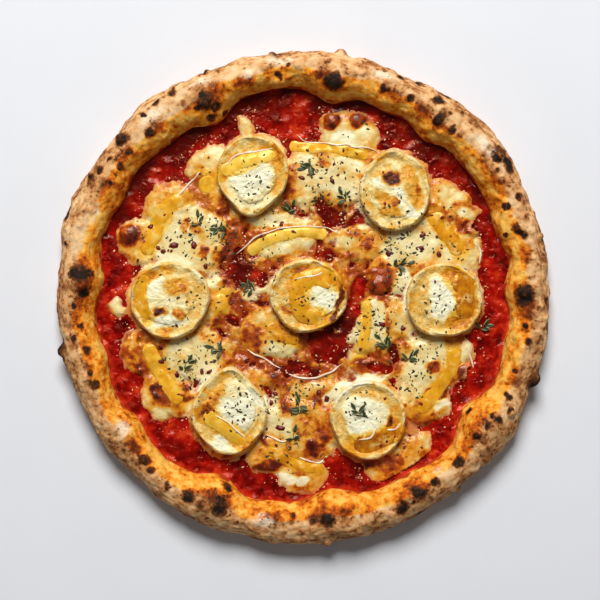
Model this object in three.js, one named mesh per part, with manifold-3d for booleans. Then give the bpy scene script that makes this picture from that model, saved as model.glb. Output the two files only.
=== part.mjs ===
// A wood-fired goat cheese pizza: puffed crust, tomato sauce, melted mozzarella with a honey
// drizzle and chili flakes, seven goat cheese rounds and sprigs of thyme.
// Millimetres, +Z up. The origin is the middle of the flat underside, and +Y is the far side.

import * as THREE from 'three';
import { mergeVertices } from 'three/addons/utils/BufferGeometryUtils.js';
import Module from 'manifold-3d';

const wasm = await Module();
wasm.setup();

// ---------------------------------------------------------------- driving dimensions

const GAP = 0.3;                 // clearance between pieces that touch

// The crust's section: a flat base with a puffed rim, outer wall round and inner wall steep.
const OUTER_RADIUS = 148.5;      // widest part of the rim
const CREST_RADIUS = 138.5;      // top of the rim
const FOOT_RADIUS = 126.5;       // where the rim's inner wall meets the base
const UNDERCUT = 17;             // how far the rim overhangs the flat underside
const RIM_HEIGHT = 22;
const BELLY_HEIGHT = 10;         // height of the widest part
const BASE_TOP = 4.8;
const CRAG = 1;                  // height of the rim's small lumps and dents
const RIM_STEPS = 120;           // sections round the rim
const LOWER_STEPS = 3;           // points on the overhang, the outer wall and the inner wall
const OUTER_STEPS = 4;
const INNER_STEPS = 4;

const SAUCE_BOTTOM = BASE_TOP + GAP;
const SAUCE_LEVEL = 6.4;
const SAUCE_LUMP = 0.75;
const SAUCE_RINGS = [0.5, 0.82, 1];           // parts of the sauce's radius

const CHEESE_BOTTOM = SAUCE_LEVEL + SAUCE_LUMP + GAP;
const SEAT_THICKNESS = 2.1;      // mozzarella under a goat cheese round
const SEAT_REACH = 1.08;         // parts of the round's radius that its seat reaches
const THINNEST_MELT = 1.3;
const MELT_STEPS = 84;
const MELT_RINGS = [0.98, 0.82, 0.62, 0.42, 0.22, 0];    // parts of its edge's radius
const EDGE_CLEARANCE = 3;        // from the rim's foot to the mozzarella
const EDGE_STRIDE = 0.5;
const DOME_STEPS = 8;
const POOL_STEPS = 10;
const POOL_REACH = 4;            // more than the mozzarella's thickness
const HONEY_THICKNESS = 2.7;     // a honey ribbon, measured from the mozzarella's underside
const FLAKE_HEIGHT = 0.85;       // a chili flake, above and below the cheese's surface
const FLAKE_BREADTH = 0.34;      // parts of its length, each way from its middle

const GOAT_BOTTOM = CHEESE_BOTTOM + SEAT_THICKNESS + GAP;
const GOAT_STEPS = 21;

const GOAT_TOP = GOAT_BOTTOM + 7.4;      // the highest a core reaches
const LEAF_LENGTH = 5.2;
const LEAF_WIDTH = 2.3;
const LEAF_THICKNESS = 0.4;
const PAIR_SPACING = 3;          // between pairs of leaves along the stem
const STEM_RADIUS = 0.4;
const STEM_TAIL = 1.2;           // bare stem below the first pair
const SPRIG_REACH = 7;           // from a sprig's middle to its furthest leaf

// ---------------------------------------------------------------- where things are

// Puffs and bulges of the rim: direction and half width in degrees, then millimetres that
// the foot moves in, the crest lifts and the outer wall moves out.
const PUFFS = [
  { at: 2, half: 5, inward: 5, lift: 1.5, outward: 0 },
  { at: 18, half: 6, inward: 2.5, lift: 0.5, outward: 0.5 },
  { at: 40, half: 9, inward: 0, lift: 1, outward: 4 },
  { at: 53, half: 5, inward: 6, lift: 2, outward: 2.5 },
  { at: 66, half: 7, inward: 4, lift: 1, outward: 0 },
  { at: 82, half: 6, inward: 8, lift: 3, outward: 1 },
  { at: 116, half: 7, inward: 10, lift: 3.5, outward: 0.5 },
  { at: 130, half: 6, inward: 2.5, lift: 0.5, outward: 3.5 },
  { at: 151, half: 5, inward: 2.5, lift: 1, outward: 0.5 },
  { at: 160, half: 7, inward: 0.5, lift: 0, outward: 3 },
  { at: 175, half: 6, inward: 6, lift: 2.5, outward: 0.5 },
  { at: 197, half: 6, inward: 4, lift: 1, outward: 0 },
  { at: 217, half: 5, inward: 4, lift: 0.5, outward: 0.5 },
  { at: 246, half: 6, inward: 8, lift: 2, outward: 0 },
  { at: 262, half: 5, inward: 2.5, lift: 1, outward: 0.5 },
  { at: 278, half: 8, inward: 9, lift: 3, outward: 0.5 },
  { at: 300, half: 7, inward: 2, lift: 1, outward: 0 },
  { at: 325, half: 7, inward: 9.5, lift: 2.5, outward: 5 },
  { at: 347, half: 7, inward: 1.5, lift: 0.5, outward: 0.5 },
];

// Charred blisters of the rim: direction in degrees, distance from the middle and width.
const BLISTERS = [
  { at: 1, out: 133, width: 8 },
  { at: 14.5, out: 148, width: 5 },
  { at: 17.5, out: 136, width: 6 },
  { at: 36, out: 146, width: 9 },
  { at: 52.5, out: 134, width: 9 },
  { at: 69, out: 134, width: 6 },
  { at: 82, out: 131, width: 13 },
  { at: 81, out: 148.5, width: 8 },
  { at: 97, out: 147, width: 6 },
  { at: 113, out: 147.5, width: 5 },
  { at: 116.5, out: 131, width: 11 },
  { at: 139, out: 145, width: 7 },
  { at: 150, out: 147, width: 5 },
  { at: 176, out: 133, width: 13 },
  { at: 192.5, out: 147.5, width: 9 },
  { at: 201, out: 137.5, width: 6 },
  { at: 225.5, out: 136, width: 7 },
  { at: 248, out: 136, width: 9 },
  { at: 276.5, out: 133.5, width: 9 },
  { at: 276, out: 148, width: 6 },
  { at: 299, out: 136, width: 9 },
  { at: 309, out: 148, width: 5 },
  { at: 322, out: 132.5, width: 7 },
  { at: 331, out: 143, width: 6 },
  { at: 340.5, out: 147.5, width: 11 },
];

// Goat cheese rounds: centre, radii, and where the crumbly core sits from the centre.
const GOATS = [
  { x: -30, y: 74.5, across: 21.5, along: 23.5, core: [0.5, -2.5] },
  { x: 55.5, y: 64, across: 21.5, along: 24, core: [0, -1] },
  { x: -80, y: -1.5, across: 24, along: 23.5, core: [-2, 0.5] },
  { x: 3.5, y: 1, across: 23.5, along: 22, core: [3, -1.5] },
  { x: 85.5, y: -1.5, across: 23, along: 22.5, core: [-0.5, 1] },
  { x: -44, y: -69.5, across: 22.5, along: 26, core: [2.5, 3] },
  { x: 39.5, y: -74, across: 23, along: 23.5, core: [-1, 2] },
];

// Corners and flats of their outlines: which round, direction and half width in degrees, and
// millimetres out.
const GOAT_CORNERS = [
  { round: 1, at: 265, half: 22, out: 1.8 },
  { round: 1, at: 225, half: 16, out: -1.2 },
  { round: 1, at: 310, half: 20, out: -1.4 },
  { round: 1, at: 190, half: 14, out: 0.8 },
  { round: 2, at: 95, half: 18, out: 0.8 },
  { round: 2, at: 35, half: 18, out: 0.8 },
  { round: 2, at: 215, half: 20, out: -1 },
  { round: 3, at: 330, half: 22, out: -1 },
  { round: 3, at: 20, half: 18, out: 0.6 },
  { round: 4, at: 255, half: 18, out: 1.2 },
  { round: 4, at: 210, half: 18, out: -1.2 },
  { round: 4, at: 130, half: 20, out: 1 },
  { round: 4, at: 300, half: 20, out: -1 },
  { round: 5, at: 225, half: 18, out: 1.2 },
  { round: 5, at: 320, half: 20, out: 0.8 },
  { round: 5, at: 270, half: 16, out: -0.8 },
  { round: 6, at: 90, half: 20, out: 1 },
  { round: 6, at: 45, half: 22, out: -1.6 },
  { round: 6, at: 135, half: 22, out: -1.4 },
  { round: 6, at: 185, half: 18, out: 1.2 },
  { round: 6, at: 225, half: 20, out: -1.4 },
  { round: 6, at: 315, half: 22, out: -1 },
  { round: 7, at: 100, half: 22, out: 1 },
  { round: 7, at: 200, half: 20, out: -0.8 },
];

// Melted mozzarella: each slice has run to a low rounded patch of its own.
const MELTS = [
  { x: 28, y: 99, across: 19, along: 16, turn: -15, thickness: 1.9 },
  { x: 14, y: 72, across: 29, along: 21, turn: 0, thickness: 2 },
  { x: -34, y: 103, across: 5, along: 9, turn: 10, thickness: 1.4 },
  { x: -55, y: 80, across: 16, along: 13, turn: 30, thickness: 1.7 },
  { x: 87, y: 55, across: 16, along: 18, turn: 40, thickness: 1.7 },
  { x: 102, y: 55, across: 12, along: 3, turn: -10, thickness: 1.2 },
  { x: 73, y: 31, across: 26, along: 21, turn: 0, thickness: 2.1 },
  { x: 93, y: 29, across: 16, along: 16, turn: 0, thickness: 1.8 },
  { x: 78, y: -39, across: 27, along: 18, turn: 20, thickness: 2.1 },
  { x: 73, y: -61, across: 18, along: 17, turn: 0, thickness: 1.8 },
  { x: 55, y: -97, across: 20, along: 14, turn: 20, thickness: 1.5 },
  { x: 69, y: -91, across: 10, along: 9, turn: 0, thickness: 1.3 },
  { x: -1, y: -107, across: 15, along: 12, turn: 0, thickness: 1.6 },
  { x: 1, y: -80, across: 26, along: 21, turn: 0, thickness: 2 },
  { x: -20, y: -95, across: 15, along: 14, turn: 0, thickness: 1.7 },
  { x: -67, y: -34, across: 27, along: 19, turn: -15, thickness: 2.1 },
  { x: -83, y: -59, across: 16, along: 17, turn: 40, thickness: 1.8 },
  { x: -95, y: -33, across: 16, along: 15, turn: 0, thickness: 1.7 },
  { x: -97, y: 35, across: 16, along: 15, turn: 0, thickness: 1.8 },
  { x: -68, y: 35, across: 25, along: 23, turn: 0, thickness: 2.1 },
  { x: -79, y: 56, across: 19, along: 15, turn: 30, thickness: 1.8 },
  { x: -53, y: 59, across: 12, along: 13, turn: 0, thickness: 1.5 },
  { x: -52, y: -1, across: 11, along: 15, turn: 0, thickness: 1.5 },
  { x: -12, y: 36, across: 25, along: 13, turn: 5, thickness: 1.9 },
  { x: -24, y: 49, across: 22, along: 9, turn: 0, thickness: 1.7 },
  { x: 36, y: 32, across: 18, along: 13, turn: 0, thickness: 1.8 },
  { x: 54, y: 15, across: 16, along: 13, turn: 0, thickness: 1.9 },
  { x: 43, y: -17, across: 16, along: 20, turn: -5, thickness: 1.9 },
  { x: 60, y: -12, across: 11, along: 13, turn: 0, thickness: 1.5 },
  { x: -18, y: -22, across: 21, along: 17, turn: -10, thickness: 1.8 },
  { x: 17, y: -57, across: 28, along: 9, turn: 0, thickness: 1.5 },
  { x: -22, y: -49, across: 18, along: 6, turn: -25, thickness: 1.3 },
];

// Steam bubbles that browned as small domes.
const BUBBLES = [
  { x: 18, y: 107, across: 5, along: 5, turn: 0, thickness: 3 },
  { x: 33, y: 107, across: 5, along: 5, turn: 0, thickness: 3 },
  { x: -105, y: 38, across: 6.5, along: 6, turn: 0, thickness: 3.2 },
  { x: 47, y: 8, across: 7, along: 6, turn: 20, thickness: 3.2 },
  { x: 98, y: -45, across: 5.5, along: 5, turn: 0, thickness: 2.8 },
  { x: 103, y: 41, across: 4.5, along: 4.5, turn: 0, thickness: 2.6 },
];

// Drops of cheese that lie alone on the sauce.
const ISLETS = [
  { x: -112.5, y: -6, across: 5, along: 5.5, turn: 0, thickness: 1.8 },
];

// Pools of bare sauce inside the sheet of mozzarella.
const POOLS = [
  { x: 16, y: 51, across: 10, along: 7, turn: -20 },
  { x: 10.5, y: 35, across: 3, along: 9, turn: 0 },
  { x: 17, y: 26, across: 4, along: 3.5, turn: -30 },
  { x: -39, y: 16, across: 9, along: 12, turn: -8 },
  { x: -26, y: 13, across: 5, along: 7, turn: 0 },
  { x: -25, y: -3, across: 6, along: 3, turn: 0 },
  { x: -43, y: -13, across: 6, along: 6, turn: 0 },
  { x: 33, y: 4, across: 5, along: 8, turn: -10 },
  { x: 28, y: -9, across: 5, along: 8, turn: -25 },
  { x: 23.5, y: -16, across: 6.5, along: 7, turn: 0 },
  { x: 13, y: -28, across: 13, along: 10.5, turn: -25 },
  { x: -3, y: -44, across: 13, along: 4, turn: -5 },
  { x: 45, y: -43, across: 9, along: 4, turn: 10 },
  { x: 56, y: -35, across: 3, along: 5, turn: 0 },
];

// The honey drizzle: the width of each ribbon, and points that it passes through.
const HONEY = [
  { width: 6.3, path: [[-8, 92], [4, 91], [15, 90.5], [27, 88.5], [36, 86.5], [40, 88]] },
  { width: 9.5, path: [[79, 51], [84, 43], [90, 35.5], [95.5, 26]] },
  { width: 8, path: [[91, -31], [91.5, -39], [86, -50], [77, -62], [71, -70]] },
  { width: 6, path: [[-20, -92], [-10, -98.5], [2, -103], [13, -103.5]] },
  { width: 8.5, path: [[-94, -28], [-91, -36], [-86, -46], [-79, -56.5], [-74, -64]] },
  { width: 8.5, path: [[-72, 60], [-81, 55.5], [-87, 46], [-90.5, 36], [-96, 26]] },
  { width: 6.5, path: [[-33, 27], [-20, 35], [-2, 39.5], [15, 38.5]] },
  { width: 5.8, path: [[38.5, -3], [39, -14], [37.5, -25], [33, -34]] },
  { width: 6, path: [[-20.5, -16], [-13, -24], [-2, -26]] },
];

// Sprigs of thyme: place, direction in degrees, and how many pairs of leaves below the tip.
const SPRIGS = [
  { x: -63, y: 47, turn: 100, pairs: 2 },
  { x: -50, y: 41, turn: 170, pairs: 2 },
  { x: 3, y: 79, turn: 200, pairs: 2 },
  { x: 25, y: 61, turn: 120, pairs: 2 },
  { x: -7, y: 54, turn: 60, pairs: 2 },
  { x: 61, y: 20, turn: 10, pairs: 3 },
  { x: -32, y: 6, turn: 150, pairs: 2 },
  { x: -52, y: -31, turn: 160, pairs: 3 },
  { x: -70, y: -40, turn: 60, pairs: 2 },
  { x: -2, y: -66, turn: 90, pairs: 3 },
  { x: 49, y: -27, turn: 130, pairs: 3 },
  { x: 34, y: -69, turn: 140, pairs: 3 },
  { x: 110, y: -18, turn: 20, pairs: 2 },
  { x: -5, y: -83, turn: 80, pairs: 2 },
  { x: 66, y: -36, turn: 40, pairs: 2 },
];

// Chili flakes: place, direction in degrees and length.
const FLAKES = [
  { x: -92, y: 43, turn: 20, length: 3.8 },
  { x: -78, y: 31.5, turn: 10, length: 5.4 },
  { x: -66, y: 32, turn: 100, length: 5 },
  { x: -87.5, y: 30, turn: 150, length: 3.6 },
  { x: -84.5, y: 28, turn: 40, length: 3.6 },
  { x: -58.7, y: 19, turn: 80, length: 4.2 },
  { x: -12.8, y: 44.7, turn: 60, length: 4 },
  { x: 17.8, y: 70.8, turn: 120, length: 4.4 },
  { x: -0.5, y: 72.5, turn: 160, length: 4.6 },
  { x: 73, y: 37.8, turn: 30, length: 3.8 },
  { x: 72.3, y: 30, turn: 150, length: 4.2 },
  { x: 82.7, y: 26, turn: 95, length: 3.8 },
  { x: -86, y: -30.5, turn: 60, length: 4 },
  { x: -85.4, y: -38.7, turn: 150, length: 3.6 },
  { x: -76, y: -47, turn: 40, length: 4 },
  { x: -61, y: -45, turn: 110, length: 4.2 },
  { x: -56.5, y: -45, turn: 30, length: 4 },
  { x: -64.5, y: -51.5, turn: 60, length: 4.2 },
  { x: -19, y: -64, turn: 90, length: 4 },
  { x: -13.5, y: -79, turn: 170, length: 5.4 },
  { x: -16.6, y: -58.2, turn: 170, length: 4 },
  { x: 48.5, y: -16.3, turn: 150, length: 5 },
  { x: 61, y: -19, turn: 20, length: 3.6 },
  { x: 52.2, y: 26.7, turn: 110, length: 4.6 },
  { x: 14.7, y: -61.5, turn: 80, length: 4 },
  { x: 9.8, y: -57.5, turn: 30, length: 3.8 },
];

// ---------------------------------------------------------------- materials

const skin = (color, roughness) => new THREE.MeshStandardMaterial({ color, roughness, metalness: 0 });
const crustSkin = skin(0xc58b54, 0.85);
const sauceSkin = skin(0x9c1f12, 0.35);
const mozzarellaSkin = skin(0xecd28a, 0.4);
const goatSkin = skin(0xefe3b8, 0.5);
const thymeSkin = skin(0x3f4f2e, 0.7);

// ---------------------------------------------------------------- small helpers

// The same pseudo-random numbers each time, from 0 to 1.
function randomFrom(seed) {
  let state = seed;
  return () => {
    state = (state * 1664525 + 1013904223) % 4294967296;
    return state / 4294967296;
  };
}

const radians = THREE.MathUtils.degToRad;

// A gentle uneven wave round a circle, between about -1 and 1.
function waver(angle, seed) {
  const a = radians(angle);
  const broad = 0.5 * Math.sin(3 * a + seed);
  const middle = 0.3 * Math.sin(7 * a + 2.3 * seed);
  return broad + middle + 0.2 * Math.sin(13 * a + 4.1 * seed);
}

// A smooth hump of height 1 round a direction.
function hump(angle, at, half) {
  const turned = THREE.MathUtils.euclideanModulo(angle - at + 180, 360) - 180;
  return Math.exp(-((turned / half) ** 2));
}

// Turns a section, which may change with the angle, once round Z. The section runs from the
// axis below, outward and up, and back to the axis.
function revolve(sectionAt, steps) {
  const first = sectionAt(0);
  const turned = new THREE.LatheGeometry(first, steps);
  const position = turned.attributes.position;
  for (let step = 0; step <= steps; step += 1) {
    const angle = (360 * (step % steps)) / steps;
    const c = Math.cos(radians(angle));
    const s = Math.sin(radians(angle));
    sectionAt(angle).forEach((point, row) => {
      position.setXYZ(step * first.length + row, point.x * c, point.x * s, point.y);
    });
  }
  return turned;
}

// One closed skin: shared vertices joined, and faces without area dropped.
function weld(geometry) {
  const bare = geometry.clone();
  bare.deleteAttribute('normal');
  bare.deleteAttribute('uv');
  const joined = mergeVertices(bare, 1e-4);
  const corners = joined.index.array;
  const kept = [];
  for (let i = 0; i < corners.length; i += 3) {
    const [a, b, c] = corners.slice(i, i + 3);
    if (a !== b && b !== c && c !== a) kept.push(a, b, c);
  }
  joined.setIndex(kept);
  return joined;
}

function toSolid(geometry) {
  const joined = weld(geometry);
  return new wasm.Manifold(new wasm.Mesh({
    numProp: 3,
    vertProperties: new Float32Array(joined.attributes.position.array),
    triVerts: new Uint32Array(joined.index.array),
  }));
}

function toGeometry(solid) {
  const mesh = solid.getMesh();
  const geometry = new THREE.BufferGeometry();
  geometry.setAttribute('position', new THREE.BufferAttribute(new Float32Array(mesh.vertProperties), 3));
  geometry.setIndex(new THREE.BufferAttribute(new Uint32Array(mesh.triVerts), 1));
  return geometry;
}

const fuse = (geometries) => toGeometry(
  geometries.map(toSolid).reduce((whole, piece) => whole.add(piece)),
);

function addMesh(name, geometry, material) {
  const mesh = new THREE.Mesh(geometry, material);
  mesh.name = name;
  pizza.add(mesh);
  return mesh;
}

const pizza = new THREE.Group();

// ---------------------------------------------------------------- crust

// The rim's measures in one direction.
function rimAt(angle) {
  let outer = OUTER_RADIUS + 0.8 * waver(angle, 1);
  let crest = CREST_RADIUS + 1.2 * waver(angle, 2);
  let foot = FOOT_RADIUS + 1.5 * waver(angle, 3);
  let height = RIM_HEIGHT + 1.2 * waver(angle, 4);
  for (const puff of PUFFS) {
    const share = hump(angle, puff.at, puff.half);
    foot -= puff.inward * share;
    crest -= 0.45 * puff.inward * share;
    height += puff.lift * share;
    outer += puff.outward * share;
  }
  return { outer, crest, foot, height };
}

function crustSection(angle) {
  const { outer, crest, foot, height } = rimAt(angle);
  const points = [new THREE.Vector2(0, 0)];
  for (let i = 0; i <= LOWER_STEPS; i += 1) {
    const a = (Math.PI / 2) * (i / LOWER_STEPS);
    points.push(new THREE.Vector2(outer - UNDERCUT * (1 - Math.sin(a)), BELLY_HEIGHT * (1 - Math.cos(a))));
  }
  for (let i = 1; i <= OUTER_STEPS; i += 1) {
    const a = (Math.PI / 2) * (i / OUTER_STEPS);
    const dent = CRAG * waver(5 * angle, i) * Math.sin(2 * a);
    const rise = (height - BELLY_HEIGHT) * Math.sin(a) + 0.6 * CRAG * waver(8 * angle, 21 + i) * Math.sin(a);
    points.push(new THREE.Vector2(crest + (outer - crest) * Math.cos(a) + dent, BELLY_HEIGHT + rise));
  }
  for (let i = 1; i <= INNER_STEPS; i += 1) {
    const a = (Math.PI / 2) * (i / INNER_STEPS);
    const dent = CRAG * waver(4 * angle, 7 + i) * Math.sin(2 * a);
    const drop = (height - BASE_TOP) * Math.cos(a) + 0.6 * CRAG * waver(6 * angle, 31 + i) * Math.sin(2 * a);
    points.push(new THREE.Vector2(foot + (crest - foot) * (1 - Math.sin(a)) + dent, BASE_TOP + drop));
  }
  points.push(new THREE.Vector2(0, BASE_TOP));
  return points;
}

// Height of the rim's upper skin.
function rimTop(angle, out) {
  const { outer, crest, foot, height } = rimAt(angle);
  if (out >= crest) {
    const share = Math.min(1, (out - crest) / (outer - crest));
    return BELLY_HEIGHT + (height - BELLY_HEIGHT) * Math.sqrt(1 - share * share);
  }
  const share = Math.min(1, (crest - out) / (crest - foot));
  return BASE_TOP + (height - BASE_TOP) * Math.sqrt(1 - share * share);
}

function blister({ at, out, width }, index) {
  const { outer } = rimAt(at);
  const reach = Math.min(out, outer - 0.12 * width);
  const dome = new THREE.SphereGeometry(width / 2, 6, 4);
  dome.scale(1, 0.8 + 0.1 * (index % 4), 0.55);
  dome.rotateZ(radians(70 * index));
  dome.translate(
    reach * Math.cos(radians(at)),
    reach * Math.sin(radians(at)),
    rimTop(at, reach) - 0.08 * width,
  );
  return dome;
}

addMesh('crust', fuse([revolve(crustSection, RIM_STEPS), ...BLISTERS.map(blister)]), crustSkin);

// ---------------------------------------------------------------- tomato sauce

function sauceSection(angle) {
  const edge = rimAt(angle).foot - GAP;
  const points = [new THREE.Vector2(0, SAUCE_BOTTOM), new THREE.Vector2(edge, SAUCE_BOTTOM)];
  for (const [row, part] of [...SAUCE_RINGS].reverse().entries()) {
    const lump = SAUCE_LUMP * waver(6 * angle, 11 + 5 * row);
    points.push(new THREE.Vector2(edge * part, SAUCE_LEVEL + lump));
  }
  points.push(new THREE.Vector2(0, SAUCE_LEVEL));
  return points;
}

addMesh('tomato_sauce', revolve(sauceSection, RIM_STEPS), sauceSkin);

// ---------------------------------------------------------------- mozzarella

// How far out a point is in an ellipse: 0 in its middle and 1 on its edge.
function reachIn({ x, y, across, along, turn = 0 }, px, py) {
  const c = Math.cos(radians(turn));
  const s = Math.sin(radians(turn));
  const u = ((px - x) * c + (py - y) * s) / across;
  const v = ((py - y) * c - (px - x) * s) / along;
  return Math.hypot(u, v);
}

// Thickness of the melted sheet: every melt is a low dome with a round edge.
function meltDepth(x, y) {
  const domes = MELTS.map((melt) => melt.thickness * Math.sqrt(Math.max(0, 1 - reachIn(melt, x, y) ** 4)));
  const seats = GOATS.map((goat) => (reachIn(goat, x, y) < SEAT_REACH ? SEAT_THICKNESS : 0));
  return Math.max(...domes, ...seats);
}

// Where the melted sheet ends in one direction.
function meltEdge(angle) {
  let out = rimAt(angle).foot - EDGE_CLEARANCE;
  while (meltDepth(out * Math.cos(radians(angle)), out * Math.sin(radians(angle))) === 0) out -= EDGE_STRIDE;
  return out;
}

function meltSection(angle) {
  const edge = meltEdge(angle);
  const points = [new THREE.Vector2(0, CHEESE_BOTTOM), new THREE.Vector2(edge, CHEESE_BOTTOM)];
  for (const part of MELT_RINGS) {
    const out = edge * part;
    const depth = meltDepth(out * Math.cos(radians(angle)), out * Math.sin(radians(angle)));
    points.push(new THREE.Vector2(out, CHEESE_BOTTOM + Math.max(depth, THINNEST_MELT)));
  }
  return points;
}

// A low dome on the level of the mozzarella's underside.
function dome({ x, y, across, along, turn }, height, bottom) {
  const profile = [[0, 0], [1, 0], [0.8, 0.75], [0, 1]];
  const body = revolve(() => profile.map(([out, up]) => new THREE.Vector2(out, up * height)), DOME_STEPS);
  body.scale(across, along, 1);
  body.rotateZ(radians(turn));
  body.translate(x, y, bottom);
  return body;
}

// What a pool of bare sauce takes out of the mozzarella: a plug right through it.
function poolPlug({ x, y, across, along, turn }) {
  const plug = new THREE.CylinderGeometry(1.08, 0.95, 2 * POOL_REACH, POOL_STEPS);
  plug.rotateX(Math.PI / 2);
  plug.scale(across, along, 1);
  plug.rotateZ(radians(turn));
  plug.translate(x, y, CHEESE_BOTTOM);
  return plug;
}

const honeyCurve = (points) => new THREE.CatmullRomCurve3(
  points.map(([x, y]) => new THREE.Vector3(x, y, CHEESE_BOTTOM)),
);

// A ribbon of honey, flat below and rounded above. It starts in the lower half of the sheet.
function honeyRibbon({ width, path }) {
  const section = new THREE.Shape();
  section.moveTo(-0.3 * HONEY_THICKNESS, -width / 2);
  section.lineTo(-0.3 * HONEY_THICKNESS, width / 2);
  section.lineTo(-HONEY_THICKNESS, 0.22 * width);
  section.lineTo(-HONEY_THICKNESS, -0.22 * width);
  const steps = 2 * (path.length - 1);
  return new THREE.ExtrudeGeometry(section, { steps, extrudePath: honeyCurve(path) });
}

const onHoney = (x, y, margin) => HONEY.some(({ width, path }) => (
  honeyCurve(path).getPoints(20).some((point) => Math.hypot(point.x - x, point.y - y) < width / 2 + margin)
));

// A chili flake: a small flat shard bedded in the cheese.
function chiliFlake({ x, y, turn, length }) {
  const flake = new THREE.OctahedronGeometry(1);
  flake.scale(0.5 * length, FLAKE_BREADTH * length, FLAKE_HEIGHT);
  flake.rotateZ(radians(turn));
  flake.translate(x, y, CHEESE_BOTTOM + meltDepth(x, y));
  return flake;
}

const melted = [
  revolve(meltSection, MELT_STEPS),
  ...BUBBLES.map((bubble) => dome(bubble, bubble.thickness - 0.5, CHEESE_BOTTOM + 0.5)),
  ...HONEY.map(honeyRibbon),
  ...FLAKES.map(chiliFlake),
].map(toSolid).reduce((whole, piece) => whole.add(piece));
const pooled = POOLS.map(poolPlug).map(toSolid).reduce((whole, plug) => whole.subtract(plug), melted);
addMesh('mozzarella', toGeometry(pooled), mozzarellaSkin);

ISLETS.forEach((islet, index) => {
  addMesh(`mozzarella_islet_${index + 1}`, dome(islet, islet.thickness, CHEESE_BOTTOM), mozzarellaSkin);
});

// ---------------------------------------------------------------- goat cheese rounds

// From the middle below: wall, wavy rind lip, sunken melted ring, crumbly core.
// [part of the radius, height, how much the height wavers, how far it sits with the core].
const GOAT_SECTION = [
  [0, 0, 0, 0],
  [0.94, 0, 0, 0],
  [1, 2.4, 0.2, 0],
  [0.985, 5.3, 0.4, 0],
  [0.94, 6.8, 0.8, 0],
  [0.875, 6.2, 0.6, 0],
  [0.78, 5.4, 0.4, 0],
  [0.67, 5.6, 0.3, 0.4],
  [0.54, 6.6, 0.4, 0.8],
  [0, 7.1, 0, 1],
];

function goatRound({ across, along, core }, index) {
  const corners = GOAT_CORNERS.filter(({ round }) => round === index + 1);
  const corner = (angle) => corners.reduce((sum, each) => (
    sum + each.out * hump(angle, each.at, each.half)
  ), 0);
  const section = (angle) => GOAT_SECTION.map(([out, up, wave], row) => {
    const edge = 1 + corner(angle) / across + 0.025 * waver(angle, 3 * index + 0.15 * row);
    return new THREE.Vector2(out * edge, up + wave * waver(angle, 5 * index + row));
  });
  const body = revolve(section, GOAT_STEPS);
  body.scale(across, along, 1);
  const position = body.attributes.position;
  for (let vertex = 0; vertex < position.count; vertex += 1) {
    const [, , , share] = GOAT_SECTION[vertex % GOAT_SECTION.length];
    position.setX(vertex, position.getX(vertex) + share * core[0]);
    position.setY(vertex, position.getY(vertex) + share * core[1]);
  }
  return body;
}

GOATS.forEach((goat, index) => {
  const mesh = addMesh(`goat_cheese_${index + 1}`, goatRound(goat, index), goatSkin);
  mesh.position.set(goat.x, goat.y, GOAT_BOTTOM);
});

// ---------------------------------------------------------------- thyme

// One leaf's outline, from the near side of its stalk round its tip to the far side.
function leafOutline(stalkX, stalkY, direction, length) {
  const sides = [[0.12, -0.3], [0.55, -0.5], [1, 0], [0.55, 0.5], [0.12, 0.3]];
  const c = Math.cos(direction);
  const s = Math.sin(direction);
  return sides.map(([out, aside]) => {
    const u = out * length;
    const v = aside * LEAF_WIDTH;
    return new THREE.Vector2(stalkX + u * c - v * s, stalkY + u * s + v * c);
  });
}

// A sprig lies along X: pairs of leaves up one side of the stem, the tip leaf, and down the
// other side, as one thin sheet that waves.
function sprig({ pairs, turn }, index) {
  const random = randomFrom(31 + index);
  const length = PAIR_SPACING * pairs;
  const side = (way) => Array.from({ length: pairs }, (_, pair) => leafOutline(
    PAIR_SPACING * pair + STEM_RADIUS - length / 2,
    way * STEM_RADIUS,
    way * radians(55 + 15 * random()),
    LEAF_LENGTH * (0.75 + 0.35 * random()),
  ));
  const right = side(-1).flat();
  const left = side(1).reverse().flat();
  const tip = leafOutline(length / 2 - STEM_RADIUS, 0, 0, LEAF_LENGTH);
  const tail = -length / 2 - STEM_TAIL;
  const outline = [
    new THREE.Vector2(tail, STEM_RADIUS),
    new THREE.Vector2(tail, -STEM_RADIUS),
    ...right,
    ...tip,
    ...left,
  ];
  const flat = { depth: LEAF_THICKNESS, bevelEnabled: false };
  const sheet = new THREE.ExtrudeGeometry(new THREE.Shape(outline), flat);
  const position = sheet.attributes.position;
  for (let vertex = 0; vertex < position.count; vertex += 1) {
    const fromStem = Math.abs(position.getY(vertex));
    const wave = 0.25 * Math.sin(1.3 * position.getX(vertex) + index) + 0.25;
    position.setZ(vertex, position.getZ(vertex) + wave + 0.05 * fromStem * fromStem);
  }
  return sheet;
}

// Height that a sprig rests on: the highest thing that its leaves reach over.
function restHeight(x, y) {
  if (GOATS.some((goat) => reachIn(goat, x, y) < 1)) return GOAT_TOP;
  if (onHoney(x, y, SPRIG_REACH)) return CHEESE_BOTTOM + HONEY_THICKNESS;
  const overCheese = Math.hypot(x, y) < meltEdge(THREE.MathUtils.radToDeg(Math.atan2(y, x))) + SPRIG_REACH;
  return overCheese ? CHEESE_BOTTOM + SEAT_THICKNESS : CHEESE_BOTTOM;
}

SPRIGS.forEach((item, index) => {
  const mesh = addMesh(`thyme_${index + 1}`, sprig(item, index), thymeSkin);
  mesh.rotation.z = radians(item.turn);
  mesh.position.set(item.x, item.y, restHeight(item.x, item.y) + GAP);
});

export default pizza;
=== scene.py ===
"""A wood-fired goat cheese pizza, seen from straight above on a pale studio floor.

Lengths are millimetres until a mesh is made, which is in metres. +Z is up and +Y is the far side.
The crust, sauce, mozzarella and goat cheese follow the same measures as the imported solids, with
the fine relief that the solids leave out.
"""

import itertools
import math

import bpy
import numpy as np
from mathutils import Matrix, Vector
from mathutils.bvhtree import BVHTree


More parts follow.
